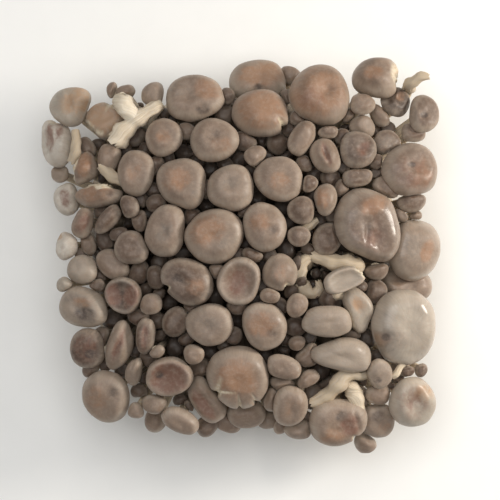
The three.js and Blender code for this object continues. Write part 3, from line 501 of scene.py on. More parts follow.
def smooth_line(points, steps):
    """A smooth curve through the points, with this many steps from each to the next."""
    ends = [points[0], *points, points[-1]]
    line = []
    for four in zip(ends, ends[1:], ends[2:], ends[3:]):
        a, b, c, d = (np.asarray(point, float) for point in four)
        for step in range(steps):
            t = step / steps
            line.append(0.5 * (2 * b + (c - a) * t + (2 * a - 5 * b + 4 * c - d) * t**2
                               + (3 * b - a - 3 * c + d) * t**3))
    return [*line, np.asarray(points[-1], float)]


def fade(value, low, high):
    """0 up to low and 1 from high on, whichever of the two is the greater."""
    return np.clip((value - low) / (high - low), 0, 1)


def draws():
    """The part's own random draws, in its order."""
    seed = SEED
    while True:
        seed = seed * DRAW.times % DRAW.size
        yield seed / DRAW.size


# ---- Where each cap stands, by the part's own rules ---------------------------------------------------
def crown_over(x, y):
    """Height of the heap over a place."""
    return CROWN - EDGE_DROP * (x * x + y * y) / (REACH * REACH)


def cap_at(index, x, y, long, wide, angle, form, tone, lean, waves):
    """A cap at a place, which leans outwards with the heap and, on top of that, as far as lean says."""
    axis = unit((x / REACH * LEAN + lean[0], y / REACH * LEAN + lean[1], 1))
    along = unit(np.cross((-math.sin(angle), math.cos(angle), 0), axis))
    return SimpleNamespace(
        index=index, x=x, y=y, long=long, wide=wide, angle=angle, form=form, tone=tone, waves=waves,
        radius=math.sqrt(long * wide) / 2, height=HEIGHTS[form] * (long + wide) / 2,
        axis=axis, along=along, across=np.cross(axis, along))


def new_cap(row, index, draw):
    x, y, long, wide, turn, form, tone, *lean = row
    waves = (next(draw) * 2 * math.pi, next(draw) * 2 * math.pi, next(draw))
    cap = cap_at(index, x, y, long * FULL, wide * FULL, math.radians(turn), form, tone, lean or (0, 0), waves)
    cap.mid = crown_over(x, y) + PROUD * (2 * cap.radius - MIDDLING) - cap.height / 2
    return cap


def outline(cap, angle):
    first, second, size = cap.waves
    return (1 + WAVE.slow * np.sin(2 * angle + first)
            + (WAVE.quick + WAVE.spread * size) * np.sin(3 * angle + second))


def reach_towards(cap, other):
    way = math.atan2(other.y - cap.y, other.x - cap.x) - cap.angle
    c, s = math.cos(way) / (cap.long / 2), math.sin(way) / (cap.wide / 2)
    return outline(cap, math.atan2(s, c)) / math.hypot(c, s)


def slip(upper, lower, share):
    """Where a lower cap's near side slips under an upper one's rim, each drawn in to a share."""
    apart = math.hypot(lower.x - upper.x, lower.y - upper.y)
    way = np.array(((lower.x - upper.x) / apart, (lower.y - upper.y) / apart, 0))
    over, under = share * reach_towards(upper, lower), share * reach_towards(lower, upper)
    if apart >= over + under:
        return SimpleNamespace(way=way, apart=apart, over=over, under=under, beside=True, step=-math.inf)
    offset = max(0, (apart - over) / under)
    dome = math.sqrt(1 - ROUND * offset * offset)
    fall_upper, fall_lower = (cap.axis @ way / cap.axis[2] for cap in (upper, lower))
    step = ((upper.height - lower.height) / 2 + fall_upper * over
            + lower.height * dome + fall_lower * offset * under)
    return SimpleNamespace(way=way, apart=apart, over=over, under=under, beside=False, step=step,
                           offset=offset, dome=dome, fall_lower=fall_lower)


def placed_caps():
    draw = draws()
    caps = [new_cap(row, index, draw) for index, row in enumerate(CAPS)]
    for index, cap in enumerate(caps):
        for upper in caps[:index]:
            cap.mid = min(cap.mid, upper.mid - slip(upper, cap, PRESS).step)
        cap.mid = max(cap.mid, LOWEST)
    return caps


def grouped_caps(caps):
    """The largest caps lead a solid each, and every other cap joins the nearest of them."""
    leaders = sorted(sorted(caps, key=lambda cap: (-cap.radius, cap.index))[:LEADERS], key=lambda cap: cap.index)
    groups = [[leader] for leader in leaders]
    for cap in caps:
        if not any(cap is leader for leader in leaders):
            clear = [math.hypot(cap.x - other.x, cap.y - other.y) - reach_towards(cap, other)
                     - reach_towards(other, cap) + DEPTH_COUNTS * abs(cap.mid - other.mid) for other in leaders]
            groups[clear.index(min(clear))].append(cap)
    return groups


def middle_of(cap):
    return np.array((cap.x, cap.y, cap.mid))


def point_on_axis(cap, share):
    return middle_of(cap) + cap.axis * (share - 0.5) * cap.height


# ---- Stems ------------------------------------------------------------------------------------------
def square_reach(x, y):
    """Distance from the middle to a rounded square of half width 1."""
    long = np.hypot(x, y)
    return 1 / (np.abs(x / long) ** BUTT.square + np.abs(y / long) ** BUTT.square) ** (1 / BUTT.square)


def inwards(x, y, half_width):
    """How far a place lies in from the side of the rounded square of this half width: 0 there, 1 in the middle."""
    return 1 - np.hypot(x, y) / (half_width * square_reach(x, y))


def root_under(x, y):
    share = min(ROOT.spread, (BUTT.neck - ROOT.inset) * square_reach(x, y) / math.hypot(x, y))
    return np.array((x * share, y * share, BUTT.height - ROOT.depth))


def stem_of(cap):
    neck = point_on_axis(cap, UNDER.plain if cap.wide < SMALL else UNDER.high)
    root = root_under(neck[0], neck[1])
    thick = STEM.thick + STEM.per_cap * cap.radius
    knee = root + (neck - root) * np.array((ROOT.out, ROOT.out, ROOT.knee))
    return SimpleNamespace(cap=cap, points=[root, knee, neck], torn=False,
                           radii=[thick * STEM.swell, thick * STEM.waist, thick])


def lying_stem(row):
    x0, y0, x1, y1, z0, z1, thick = row
    bend = np.array((x0 * TORN.inset, y0 * TORN.inset, z0 - TORN.drop))
    return SimpleNamespace(
        cap=None, points=[root_under(x0, y0), bend, np.array((x0, y0, z0)), np.array((x1, y1, z1))], torn=True,
        radii=[thick * TORN.root, thick * TORN.bend, thick, thick * TORN.tip])


def near_stem(stem, here, lowest):
    """The point of each length of a stem that is nearest to a place, and how thick the stem is there."""
    for a, b, thick, next_thick in zip(stem.points, stem.points[1:], stem.radii, stem.radii[1:]):
        if max(a[2], b[2]) > lowest:
            along = b - a
            start = (lowest - a[2]) / along[2] if a[2] < lowest else 0
            t = min(1, max(start, (here - a) @ along / (along @ along)))
            yield a + along * t, thick + (next_thick - thick) * t


# ---- What presses on a cap: planes that its flesh stays behind ---------------------------------------
def plane_between(upper, lower):
    """Upright where two caps stand side by side, else between the upper one's rim and the lower one's dome."""
    share, met = 1.0, slip(upper, lower, 1.0)
    while met.step > upper.mid - lower.mid and share > NARROWEST:
        share -= EASE
        met = slip(upper, lower, share)
    if met.beside:
        return met.way, middle_of(upper) + met.way * met.apart * met.over / (met.over + met.under)
    steep = ROUND * lower.height * met.offset / (met.dome * met.under) + met.fall_lower
    height = lower.height * (met.dome - 0.5) + met.fall_lower * met.offset * met.under
    touch = middle_of(lower) - met.way * met.offset * met.under
    touch[2] += height + (upper.mid - lower.mid - met.step) / 2
    return unit((met.way[0] * steep, met.way[1] * steep, -1)), touch


def ways_round(cap, angles, wave):
    """The way from a cap's axis to its rim at each angle, waved by as much."""
    return (cap.along * (np.cos(angles) * cap.long / 2 * wave)[:, None]
            + cap.across * (np.sin(angles) * cap.wide / 2 * wave)[:, None])


def raw_points(cap):
    """Points all over a cap that nothing presses on."""
    if not hasattr(cap, "raw"):
        angles = np.linspace(0, 2 * math.pi, RIM_POINTS, endpoint=False)
        ways = ways_round(cap, angles, outline(cap, angles) * PLUMP)
        cap.raw = np.concatenate([ways * radius + cap.axis * (height - 0.5) * cap.height
                                  for radius, height in [*TOPS[cap.form], *MARGIN]])
    return cap.raw + middle_of(cap)


def give_way(upper, lower, normal, point):
    """Where the plane between two caps stands once the weaker one has given way and the other is round again."""
    limit = normal @ point
    if upper.mid + WEIGHT * upper.wide > lower.mid + WEIGHT * lower.wide:
        over = np.max(raw_points(upper) @ normal) - limit
        furthest = normal @ middle_of(lower) - YIELD.least * lower.wide / 2
        return max(limit, min(limit + YIELD.share * over, furthest))
    over = limit - np.min(raw_points(lower) @ normal)
    furthest = normal @ middle_of(upper) + YIELD.least * upper.wide / 2
    return min(limit, max(limit - YIELD.share * over, furthest))


def planes_on(cap, caps, stems):
    """The normals and limits of the planes that the neighbours press on a cap."""
    normals, limits = [], []
    here = middle_of(cap)
    lowest = cap.mid - cap.height / 2 - cap.long / 2 * math.hypot(cap.axis[0], cap.axis[1]) - NEAR
    for other in caps:
        if other is cap or math.hypot(other.x - cap.x, other.y - cap.y) > (cap.long + other.long) / 2 + NEAR:
            continue
        above = cap.mid > other.mid
        pair = (cap, other) if above else (other, cap)
        normal, point = plane_between(*pair)
        side = 1 if above else -1
        normals.append(normal * side)
        limits.append(side * give_way(*pair, normal, point) - GAP / 2)
    for stem in stems:
        for point, thick in near_stem(stem, here, lowest) if stem.cap is not cap else ():
            distance = math.dist(point, here)
            if distance <= cap.long / 2 + thick + NEAR:
                normal = (point - here) / distance
                normals.append(normal)
                limits.append(normal @ point - thick - GAP)
    return np.array(normals), np.array(limits)


def draw_together(groups):
    """Small caps follow their solids, which lean on their leader, but stay within reach of their own place."""
    for leader, *followers in groups:
        for cap in followers:
            reach = (1 - GRIP) * reach_towards(cap, leader) + reach_towards(leader, cap)
            gap = math.hypot(cap.x - leader.x, cap.y - leader.y)
            share = min(1, (reach + LOOSE) / gap)
            cap.x = leader.x + (cap.x - leader.x) * share
            cap.y = leader.y + (cap.y - leader.y) * share
            lean_x, lean_y, up = leader.axis
            rim = leader.mid - RIM * leader.height - (lean_x * (cap.x - leader.x) + lean_y * (cap.y - leader.y)) / up
            cap.mid = max(cap.mid, rim - CLING * cap.height - LOOSE)
            cap.mid = min(cap.mid, rim + RIM * cap.height + LOOSE)


def room_beside_stems(here, stems):
    """Distance from a point to the nearest stem at its height."""
    return min((math.dist(point, here) - thick for stem in stems
                for point, thick in near_stem(stem, here, here[2] - FILL.sink)), default=math.inf)


def deep_buds(caps, stems):
    """Buds that fill the gaps between the caps, the widest gap first, a layer below."""
    reach = np.arange(-FILL.reach, FILL.reach + 1, FILL.step)
    spots = np.array([(x + FILL.x, y + FILL.y) for x in reach for y in reach
                      if math.hypot(x, y) < FILL.reach * square_reach(x, y + TINY)])
    clear = np.full(len(spots), np.inf)

    def close_in(cap):
        away = spots - (cap.x, cap.y)
        way = np.arctan2(away[:, 1], away[:, 0]) - cap.angle
        rim = 1 / np.hypot(np.cos(way) / (cap.long / 2), np.sin(way) / (cap.wide / 2))
        np.minimum(clear, np.hypot(away[:, 0], away[:, 1]) - PLUMP * rim, out=clear)

    def next_spot():
        best = int(np.argmax(np.where(untried, clear, 0)))
        untried[best] = False
        return best if clear[best] > FILL.least and len(buds) < FILL.most else None

    for cap in caps:
        close_in(cap)
    draw = np.random.default_rng(SEED)
    buds = []
    for squeeze, narrowest in FILL.rounds:
        untried = np.ones(len(spots), bool)
        while (best := next_spot()) is not None:
            (x, y), gap = spots[best], clear[best]
            height = crown_over(x, y) - draw.uniform(*FILL.deep)
            room = room_beside_stems(np.array((x, y, height)), stems)
            radius = min(gap + FILL.tuck, room + squeeze, FILL.widest)
            if radius < narrowest:
                continue
            long = 2 * radius * draw.uniform(*FILL.longer)
            lean = draw.uniform(-FILL.tilt, FILL.tilt), draw.uniform(-FILL.tilt, FILL.tilt)
            angle = draw.uniform(0, math.pi)
            tone = "d" if draw.random() < FILL.dark else "m"
            bud = cap_at(len(caps) + len(buds), x, y, long, 2 * radius, angle, "bud", tone, lean,
                         draw.uniform(0, 1, 3) * FILL.waves)
            bud.mid = height
            buds.append(bud)
            close_in(bud)
    return buds


LAID = placed_caps()
GROUPS = grouped_caps(LAID)
draw_together(GROUPS)
STEMS = [*(stem_of(cap) for cap in LAID), *(lying_stem(row) for row in LYING)]
BUDS = deep_buds(LAID, STEMS)


@cache
def owner(x, y):
    """The number of the highest cap that a mark at x, y falls on."""
    mark = SimpleNamespace(x=x, y=y)
    over = [cap for cap in LAID if math.hypot(x - cap.x, y - cap.y) < reach_towards(cap, mark)]
    return max(over, key=lambda cap: cap.mid + cap.height / 2).index if over else None


# ---- Modelling helpers ------------------------------------------------------------------------------
def alone(piece=None):
    """Deselects everything, then selects and activates the piece."""
    for other in bpy.context.selected_objects:
        other.select_set(False)
    if piece is not None:
        piece.select_set(True)
        bpy.context.view_layer.objects.active = piece


def drop(piece):
    mesh = piece.data
    bpy.data.objects.remove(piece)
    bpy.data.meshes.remove(mesh)


def places(piece):
    """The piece's vertices, as rows of x, y, z."""
    flat = np.empty(len(piece.data.vertices) * 3)
    piece.data.vertices.foreach_get("co", flat)
    return flat.reshape(-1, 3)


def polar(place):
    """How far each point is from the upright axis, and its angle round it."""
    return np.hypot(place[:, 0], place[:, 1]), np.arctan2(place[:, 1], place[:, 0])


def round_space(angle, third, size=1):
    """A point for each angle on a circle of this size, for noise that closes on itself; third is its height."""
    return np.column_stack((np.cos(angle) * size, np.sin(angle) * size, np.broadcast_to(third, len(angle))))


def write(piece, **layers):
    """Writes on each vertex of the piece what each layer holds: one value for all, or a value or vector for each."""
    for name, values in layers.items():
        values = np.asarray(values, np.float32)
        kind, field = ("FLOAT_VECTOR", "vector") if values.ndim == 2 else ("FLOAT", "value")
        values = values if values.ndim else np.full(len(piece.data.vertices), values)
        piece.data.attributes.new(name, kind, "POINT").data.foreach_set(field, values.ravel())


def reshape(piece, place):
    """Moves the piece's vertices to these places, in millimetres."""
    piece.data.vertices.foreach_set("co", (place * MM).ravel())
    piece.data.update()


def copied(pattern, name, place):
    """A copy of the pattern with a mesh of its own, its vertices moved to these millimetre places in the box."""
    low, high = (np.array(corner) / MM for corner in CAD_BOX)
    piece = pattern.copy()
    piece.data = pattern.data.copy()
    piece.name = piece.data.name = name
    bpy.context.collection.objects.link(piece)
    reshape(piece, np.clip(place, low, np.minimum(high, (math.inf, math.inf, TALLEST))))
    return piece


def joined(pieces, name):
    """One piece made of several."""
    alone(pieces[0])
    for piece in pieces:
        piece.select_set(True)
    if len(pieces) > 1:
        bpy.ops.object.join()
    pieces[0].name = pieces[0].data.name = name
    alone()
    return pieces[0]


def turned(name, line, sides):
    """Models a round body by extruding a ring along a profile of radius and height, from pole to pole."""
    alone()
    (_, top), (first, start) = line[0], line[1]
    bpy.ops.mesh.primitive_circle_add(vertices=sides, radius=first, fill_type="TRIFAN", location=(0, 0, 0))
    piece = bpy.context.object
    piece.name = name
    heights = [(0, 0, top if v.co.xy.length < first / 2 else start) for v in piece.data.vertices]
    for vertex, (_, _, height) in zip(piece.data.vertices, heights):
        vertex.co.z = height
    bpy.ops.object.mode_set(mode="EDIT")
    bpy.ops.mesh.select_mode(type="EDGE")
    bpy.ops.mesh.select_all(action="SELECT")
    bpy.ops.mesh.region_to_loop()
    wide, high = first, start
    for radius, height in line[2:-1]:
        bpy.ops.mesh.extrude_edges_move(TRANSFORM_OT_translate={"value": (0, 0, height - high)})
        bpy.ops.transform.resize(value=(radius / wide, radius / wide, 1), center_override=(0, 0, 0))
        wide, high = radius, height
    bpy.ops.mesh.extrude_edges_move(TRANSFORM_OT_translate={"value": (0, 0, line[-1][1] - high)})
    bpy.ops.mesh.merge(type="CENTER")
    bpy.ops.mesh.select_all(action="SELECT")
    bpy.ops.mesh.normals_make_consistent(inside=False)
    bpy.ops.mesh.select_all(action="DESELECT")
    bpy.ops.object.mode_set(mode="OBJECT")
    return piece


# ---- Caps -------------------------------------------------------------------------------------------
def raise_gills(piece, sides, deep):
    """Selects every second spoke of the underside and lifts it, which folds it into gills."""
    alone(piece)
    place = places(piece)
    wide, angle = polar(place)
    spoke = np.round(angle / (2 * math.pi / sides)).astype(int)
    under = (place[:, 2] < GILLS.below) & (wide < GILLS.outer) & (wide > GILLS.inner) & (spoke % 2 == 0)
    for vertex, chosen in zip(piece.data.vertices, under):
        vertex.select = bool(chosen)
    bpy.ops.object.mode_set(mode="EDIT")
    bpy.ops.mesh.select_mode(type="VERT")
    bpy.ops.transform.translate(value=(0, 0, deep))
    bpy.ops.object.mode_set(mode="OBJECT")


def size_of(cap):
    return "button" if cap.wide < SMALL else "large" if cap.wide > LARGE else "cap"


def sides_of(size, settings):
    return {"button": settings.button_sides, "cap": settings.sides, "large": settings.large_sides}[size]


def cap_pattern(form, size, settings):
    """A cap of radius and height 1, with the way along its profile written on it as ring."""
    sides = sides_of(size, settings)
    line = smooth_line([*TOPS[form], *MARGIN, *(PLAIN if size == "button" else GILLED)], STEPS[size])
    piece = turned(f"pattern_{form}_{size}", line, sides)
    place = places(piece)
    wide, _ = polar(place)
    reach, high = np.array(line).T
    rim = int(np.argmax(reach))
    way = np.concatenate((reach[:rim + 1], 2 - reach[rim + 1:]))
    nearest = np.argmin((wide[:, None] - reach) ** 2 + (place[:, 2][:, None] - high) ** 2, axis=1)
    write(piece, ring=way[nearest])
    if size != "button":
        raise_gills(piece, sides, settings.gill_depth)
    alone(piece)
    bpy.ops.object.shade_smooth()
    return piece, np.array([point for point in line if point[0] > PRESSED_FROM])


def shares_kept(cap, ways, rings, planes):
    """The share of its radius that each meridian keeps, so that all of it stays behind the planes."""
    normals, limits = planes
    if len(normals):
        beside = np.abs(normals @ cap.axis) < UPRIGHT
        normals, limits = normals[beside], limits[beside]
    if not len(normals):
        return np.ones(len(ways))
    foot = point_on_axis(cap, 0)
    room = limits[:, None] - (normals @ foot)[:, None] - (normals @ cap.axis)[:, None] * rings[:, 1] * cap.height
    slope = normals @ ways.T
    least = np.min(room[:, :, None] / (rings[:, 0][:, None] * np.maximum(slope, TINY)[:, None, :]), axis=1)
    return np.clip(np.min(np.where(slope > 0, least, 1), axis=0), NARROWEST, 1)


def rounded(shares, width):
    """Rounds the corners of a ring of shares, and never adds to one that its neighbours hold in."""
    least = np.min([np.roll(shares, k) for k in (-1, 0, 1)], axis=0)
    return np.mean([np.roll(least, k) for k in range(-width, width + 1)], axis=0)


def noises(points, spacing, offset=0.0):
    """Soft noise at each point, from -1 to 1."""
    return np.array([noise.noise(Vector(p)) for p in np.asarray(points) / spacing + offset])


def bell(distance):
    """1 in the middle of a mark, with a soft edge round a distance of 1."""
    return np.exp(-distance**3)


def stained(cap, made, top):
    """How strongly each kind of stain shows at each point of a cap."""
    marks = {}
    for kind, rows in STAINS.items():
        marks[kind] = np.zeros(len(made))
        for x, y, long, wide, turn, strength in rows:
            if owner(x, y) == cap.index:
                c, s = math.cos(math.radians(turn)), math.sin(math.radians(turn))
                away = made[:, :2] - (x, y)
                far = np.hypot((away @ (c, s)) / long, (away @ (-s, c)) / wide)
                marks[kind] = np.maximum(marks[kind], strength * bell(far * STAIN_EDGE) * top)
    return marks


def lines_on(cap, made, rows):
    """For each line over a cap: its depth, and at each point of the cap the share of it and how far along it is."""
    for x0, y0, x1, y1, depth, half in rows:
        if owner((x0 + x1) / 2, (y0 + y1) / 2) == cap.index:
            start, run = np.array((x0, y0)), np.array((x1 - x0, y1 - y0))
            t = np.clip((made[:, :2] - start) @ run / (run @ run), 0, 1)
            far = np.linalg.norm(made[:, :2] - start - t[:, None] * run, axis=1) / half
            yield depth, np.exp(-far**2), t


def hollowed(cap, made, top):
    """The depth in millimetres of all marks at each point of a cap, that of the dents alone, and how split it is."""
    deep, split = np.zeros(len(made)), np.zeros(len(made))
    for x, y, depth, half in DIMPLES:
        if owner(x, y) == cap.index:
            far = np.hypot(made[:, 0] - x, made[:, 1] - y) / (half * DIMPLE.wide)
            deep = np.maximum(deep, depth * DIMPLE.deep * np.exp(-far**2) * top)
    for depth, share, t in lines_on(cap, made, FOLDS):
        deep = np.maximum(deep, depth * share * top * np.sin(np.pi * (FOLD.start + FOLD.run * t)))
    dents = deep.copy()
    for depth, share, t in lines_on(cap, made, CRACKS):
        open_share = share * top * (CRACK.inner + CRACK.run * t)
        deep, split = np.maximum(deep, depth * open_share), np.maximum(split, open_share)
    return deep, dents, split


def tears(cap, angle):
    """How far the margin is torn in at each angle of a cap."""
    torn = np.zeros(len(angle))
    for x, y, way, half, depth in TEARS:
        if math.hypot(x - cap.x, y - cap.y) < TEAR.near:
            off = np.degrees(np.abs((angle + cap.angle - math.radians(way) + np.pi) % (2 * np.pi) - np.pi)) / half
            torn = np.maximum(torn, depth * np.exp(-off**4))
    return torn


def raised(cap, place, top, flat, settings):
    """The height of each point of a cap's pattern once it is creased, curled and uneven, as a share of the cap's."""
    wide, angle = polar(place)
    _, y, z = place.T
    high = z.copy()
    if cap.form == "crease":
        deep = CREASE.deep * fade(wide, CREASE.outer, CREASE.inner) * np.exp(-(y / CREASE.wide) ** 2)
        high -= (z > CREASE.above) * deep * np.minimum(1, wide / CREASE.middle)
    first, second, _ = cap.waves
    rim = fade(wide, *BRIM) ** 2
    wave = np.sin(2 * angle + second) + CURL.third * np.sin(3 * angle + first)
    high += settings.curl * rim * wave * (high < CURL.below)
    return high + settings.swell * noises(flat, GRAIN.swell) * (1 - rim) * top


def shape_cap(cap, pattern, rings, planes, settings):
    """A copy of the pattern, stretched, leaned, pressed by its neighbours, dimpled, folded and torn."""
    place, ring = places(pattern), ring_of(pattern)
    sides = sides_of(size_of(cap), settings)
    turn = 2 * math.pi / sides
    angles = np.arange(sides) * turn
    blunt = min(BLUNT.most, 2 + BLUNT.rise * (cap.long / cap.wide - 1))
    square = (np.abs(np.cos(angles)) ** blunt + np.abs(np.sin(angles)) ** blunt) ** (-1 / blunt)
    frill = noises(round_space(angles, cap.index * OWN.rim), GRAIN.frill)
    ways = ways_round(cap, angles, outline(cap, angles) * PLUMP * square * (1 + settings.frill * frill))
    shares = rounded(shares_kept(cap, ways, rings, planes), max(1, sides // CORNER))
    wide, angle = polar(place)
    spoke = np.round(angle / turn).astype(int) % sides
    top = (ring < 1.0) * 1.0
    flat = np.column_stack((place[:, 0], place[:, 1], np.full(len(place), cap.index * OWN.skin)))
    high = raised(cap, place, top, flat, settings)
    torn = tears(cap, angle)
    ragged = 1 + settings.ragged * noises(flat, GRAIN.ragged)
    pull = 1 - torn * fade(wide, TEAR.start, 1) * ragged
    made = (point_on_axis(cap, 0) + ways[spoke] * (wide * shares[spoke] * pull)[:, None]
            + cap.axis * (high * cap.height)[:, None])
    for _ in range(PASSES):
        for normal, limit in zip(*planes):
            made -= normal * np.maximum(0, made @ normal - limit)[:, None]
    deep, dents, split = hollowed(cap, made, top)
    made -= cap.axis * deep[:, None]
    lumps = (noises(made, settings.lump_spacing, cap.index * OWN.lumps) * settings.lump_height
             + noises(made, GRAIN.pucker, cap.index) * settings.pucker)
    made += cap.axis * (lumps * top * min(1, cap.radius / FULL_LUMPS))[:, None]
    piece = copied(pattern, f"cap_{cap.index:03d}", made)
    marks = stained(cap, made, top)
    # Painted shade: the dimples and folds are darkened by their depth, as dark marks.
    marks["dark"] = np.maximum(marks["dark"], np.clip(dents * SHADE.per_mm, 0, SHADE.most))
    lip = TEAR.lip - torn * TEAR.wide
    marks["torn"] = np.maximum(fade(torn, 0, TEAR.bare) * fade(ring, lip, lip + TEAR.edge), fade(split, *CRACK.shows))
    write(piece, own=flat * SKIN_SPACE, spoke=round_space(angle, wide + cap.index, FIBRILS), **marks,
          **dict(zip(TONED, tone_of(cap, settings))))
    return piece


def tone_of(cap, settings):
    """How light, warm, patchy and wet a cap is, and how much painted shade it gets deep in the bunch."""
    drift = np.random.default_rng(SEED + cap.index).uniform(-1, 1, 4) * np.array(settings.drift)
    light, heat, patch, wet = np.array(TONES[cap.tone]) + drift
    far = math.hypot(cap.x - WET.x, cap.y - WET.y) / WET.reach
    wet += WET.most * math.exp(-far**2) * fade(cap.wide, WET.narrow, WET.wide)
    # Painted shade for small buds deep in the bunch and away from its edge.
    gloom = (fade(cap.wide, SMALL, SMALL - PAINTED_BUD_SHADE.small) * fade(crown_over(cap.x, cap.y) - cap.mid, *PAINTED_BUD_SHADE.depth)
             * fade(inwards(cap.x, cap.y, settings.painted_shade_width), 0, PAINTED_BUD_SHADE.edge))
    return light, heat, patch, wet, gloom


def ring_of(pattern):
    values = np.empty(len(pattern.data.vertices), np.float32)
    pattern.data.attributes["ring"].data.foreach_get("value", values)
    return values


# ---- Stems and butt ---------------------------------------------------------------------------------
def stem_pattern(name, sides, rings):
    """An upright stem of radius and height 1, closed at both ends."""
    piece = turned(name, [(0, 1), *((1, 1 - step) for step in np.linspace(0, 1, rings)), (0, 0)], sides)
    alone(piece)
    bpy.ops.object.shade_smooth_by_angle(angle=math.radians(50))
    return piece


def shape_stem(rows, number, pattern, settings, torn=False, fresh=0.0):
    """A copy of the pattern, bent along rows of x, y, z and half thickness, and ribbed along its length."""
    place = places(pattern)
    line = np.array(smooth_line(rows, STEM_STEPS))
    steps = np.concatenate(((0,), np.cumsum(np.linalg.norm(np.diff(line[:, :3], axis=0), axis=1))))

    def at(distance):
        return np.column_stack([np.interp(distance, steps, line[:, k]) for k in range(4)])

    along = place[:, 2]
    far = along * steps[-1]
    middle = at(far)
    way = at(np.minimum(far + 1, steps[-1]))[:, :3] - at(np.maximum(far - 1, 0))[:, :3]
    way /= np.linalg.norm(way, axis=1)[:, None]
    across = np.cross(way, NEVER_ALONG)
    across /= np.linalg.norm(across, axis=1)[:, None]
    up = np.cross(way, across)
    wide, angle = polar(place)
    circle = round_space(angle, far / RIBS.long + number * RIBS.apart)
    ribs = 1 + settings.ribs * (noises(circle, RIBS.wide)
                                + (RIBS.torn if torn else RIBS.share) * noises(circle, RIBS.fine))
    if torn:
        ribs += settings.crumble * (noises(middle[:, :3] + circle, CRUMB.size, number)
                                    + CRUMB.share * noises(circle, CRUMB.pit))
    flare = 1 if torn else 1 + settings.flare * fade(along, FLARE_FROM, 1) ** 2
    out = (middle[:, 3] * ribs * flare * wide)[:, None]
    made = middle[:, :3] + across * (np.cos(angle)[:, None] * out) + up * (np.sin(angle)[:, None] * out)
    if torn:
        fray = noises(circle, RIBS.fine) * settings.ragged * np.minimum(1, middle[:, 3] / CRUMB.full)
        made += way * (fade(along, FRAY_FROM, 1) * wide * (fray + CRUMB.out))[:, None]
        made += up * (noises(made, CRUMB.bend, number) * settings.bent)[:, None]
    piece = copied(pattern, f"stem_{number:03d}", made)
    # Painted shade, written as depth: whole stems darken further in and lower down; torn flesh gets none.
    inner = fade(inwards(made[:, 0], made[:, 1], settings.light_width), 0, DARK_INSIDE)
    low = fade(made[:, 2], settings.light_reach, settings.light_reach - settings.light_fade)
    write(piece, own=round_space(angle, far / FIBRES.long + number), fresh=fresh, depth=0 if torn else inner * low,
          along=np.maximum(along, FIBRES.torn) if torn else along)
    return piece


def rows_of(stem):
    return [np.append(point, radius) for point, radius in zip(stem.points, stem.radii)]


def foot_rows(angle, draw):
    """The way of one stem's foot up the side of the butt, as rows of x, y, z and half thickness."""
    way = np.array((math.cos(angle), math.sin(angle)))
    lean = draw.uniform(-FEET.lean, FEET.lean) * np.array((-way[1], way[0]))
    thick, tall = draw.uniform(*FEET.thick), draw.uniform(*FEET.tall)
    return np.array([(*(way * (share * square_reach(*way) - thick * FEET.inset) + lean * height / FEET.over),
                      height * tall, thick * swell) for share, height, swell in FOOT_LINE])


def model_butt(pattern, settings):
    """The cut butt: a drum widened at the waist, squared, with the fused feet of stems round its side."""
    levels = [(0, BUTT.height + BUTT_TOP.rise), (BUTT.neck * BUTT_TOP.width, BUTT.height + BUTT_TOP.shoulder),
              (BUTT.neck, BUTT.height), (BUTT.waist, BUTT.height * WAIST_AT), (BUTT.foot, 0), (0, 0)]
    piece = turned("drum", levels, DRUM_SIDES)
    place = places(piece)
    _, angle = polar(place)
    lump = 1 + LUMPS.size * (np.sin(LUMPS.slow * angle) + np.sin(LUMPS.quick * angle + 1))
    place[:, :2] *= (lump * square_reach(np.cos(angle), np.sin(angle)) * settings.drum)[:, None]
    drum = copied(piece, "butt", place)
    drop(piece)
    draw = np.random.default_rng(SEED)
    feet = []
    for number in range(settings.feet):
        angle = 2 * math.pi * (number + draw.uniform(-FEET.apart, FEET.apart)) / settings.feet
        feet.append(shape_stem(foot_rows(angle, draw), NUMBERS.feet + number, pattern, settings))
    piece = joined([drum, *feet], "butt")
    alone(piece)
    remesh = piece.modifiers.new("fuse", "REMESH")
    remesh.mode, remesh.voxel_size, remesh.use_smooth_shade = "VOXEL", settings.fuse_size, True
    bpy.ops.object.modifier_apply(modifier="fuse")
    smooth = piece.modifiers.new("soften", "SMOOTH")
    smooth.factor, smooth.iterations = SOFTEN.factor, SOFTEN.times
    bpy.ops.object.modifier_apply(modifier="soften")
    place = places(piece) / MM
    side = fade(place[:, 2], 0, KNOBS.from_foot)
    knobs = (noises(place * (1, 1, KNOBS.squat), KNOBS.wide) * settings.knobs
             + noises(place, KNOBS.fine) * settings.knobs * KNOBS.share)
    out = place[:, :2] / np.maximum(polar(place)[0], 1)[:, None]
    place[:, :2] += out * (knobs * side)[:, None]
    place[:, 2] = np.where(place[:, 2] < FLAT_BELOW, 0, place[:, 2] + knobs * KNOBS.lift * side)
    reshape(piece, place)
    x, y, z = place.T
    # Painted shade on the butt, written as depth: its side darkens further in and above its foot, its top further in
    # from its rim.
    inside = inwards(x, y, settings.light_width)
    top = fade(z, BUTT.height + TOP_FROM[0], BUTT.height + TOP_FROM[1])
    depth = fade(inside, 0, DARK_INSIDE) * fade(z, 0, FOOT_SHADE) * (1 - top) + fade(inside, *TOP_DARK) * top
    write(piece, own=round_space(polar(place)[1], z / FIBRES.long, FIBRES.butt), fresh=0, depth=depth,
          along=z / BUTT.height * FIBRES.foot)
    return piece


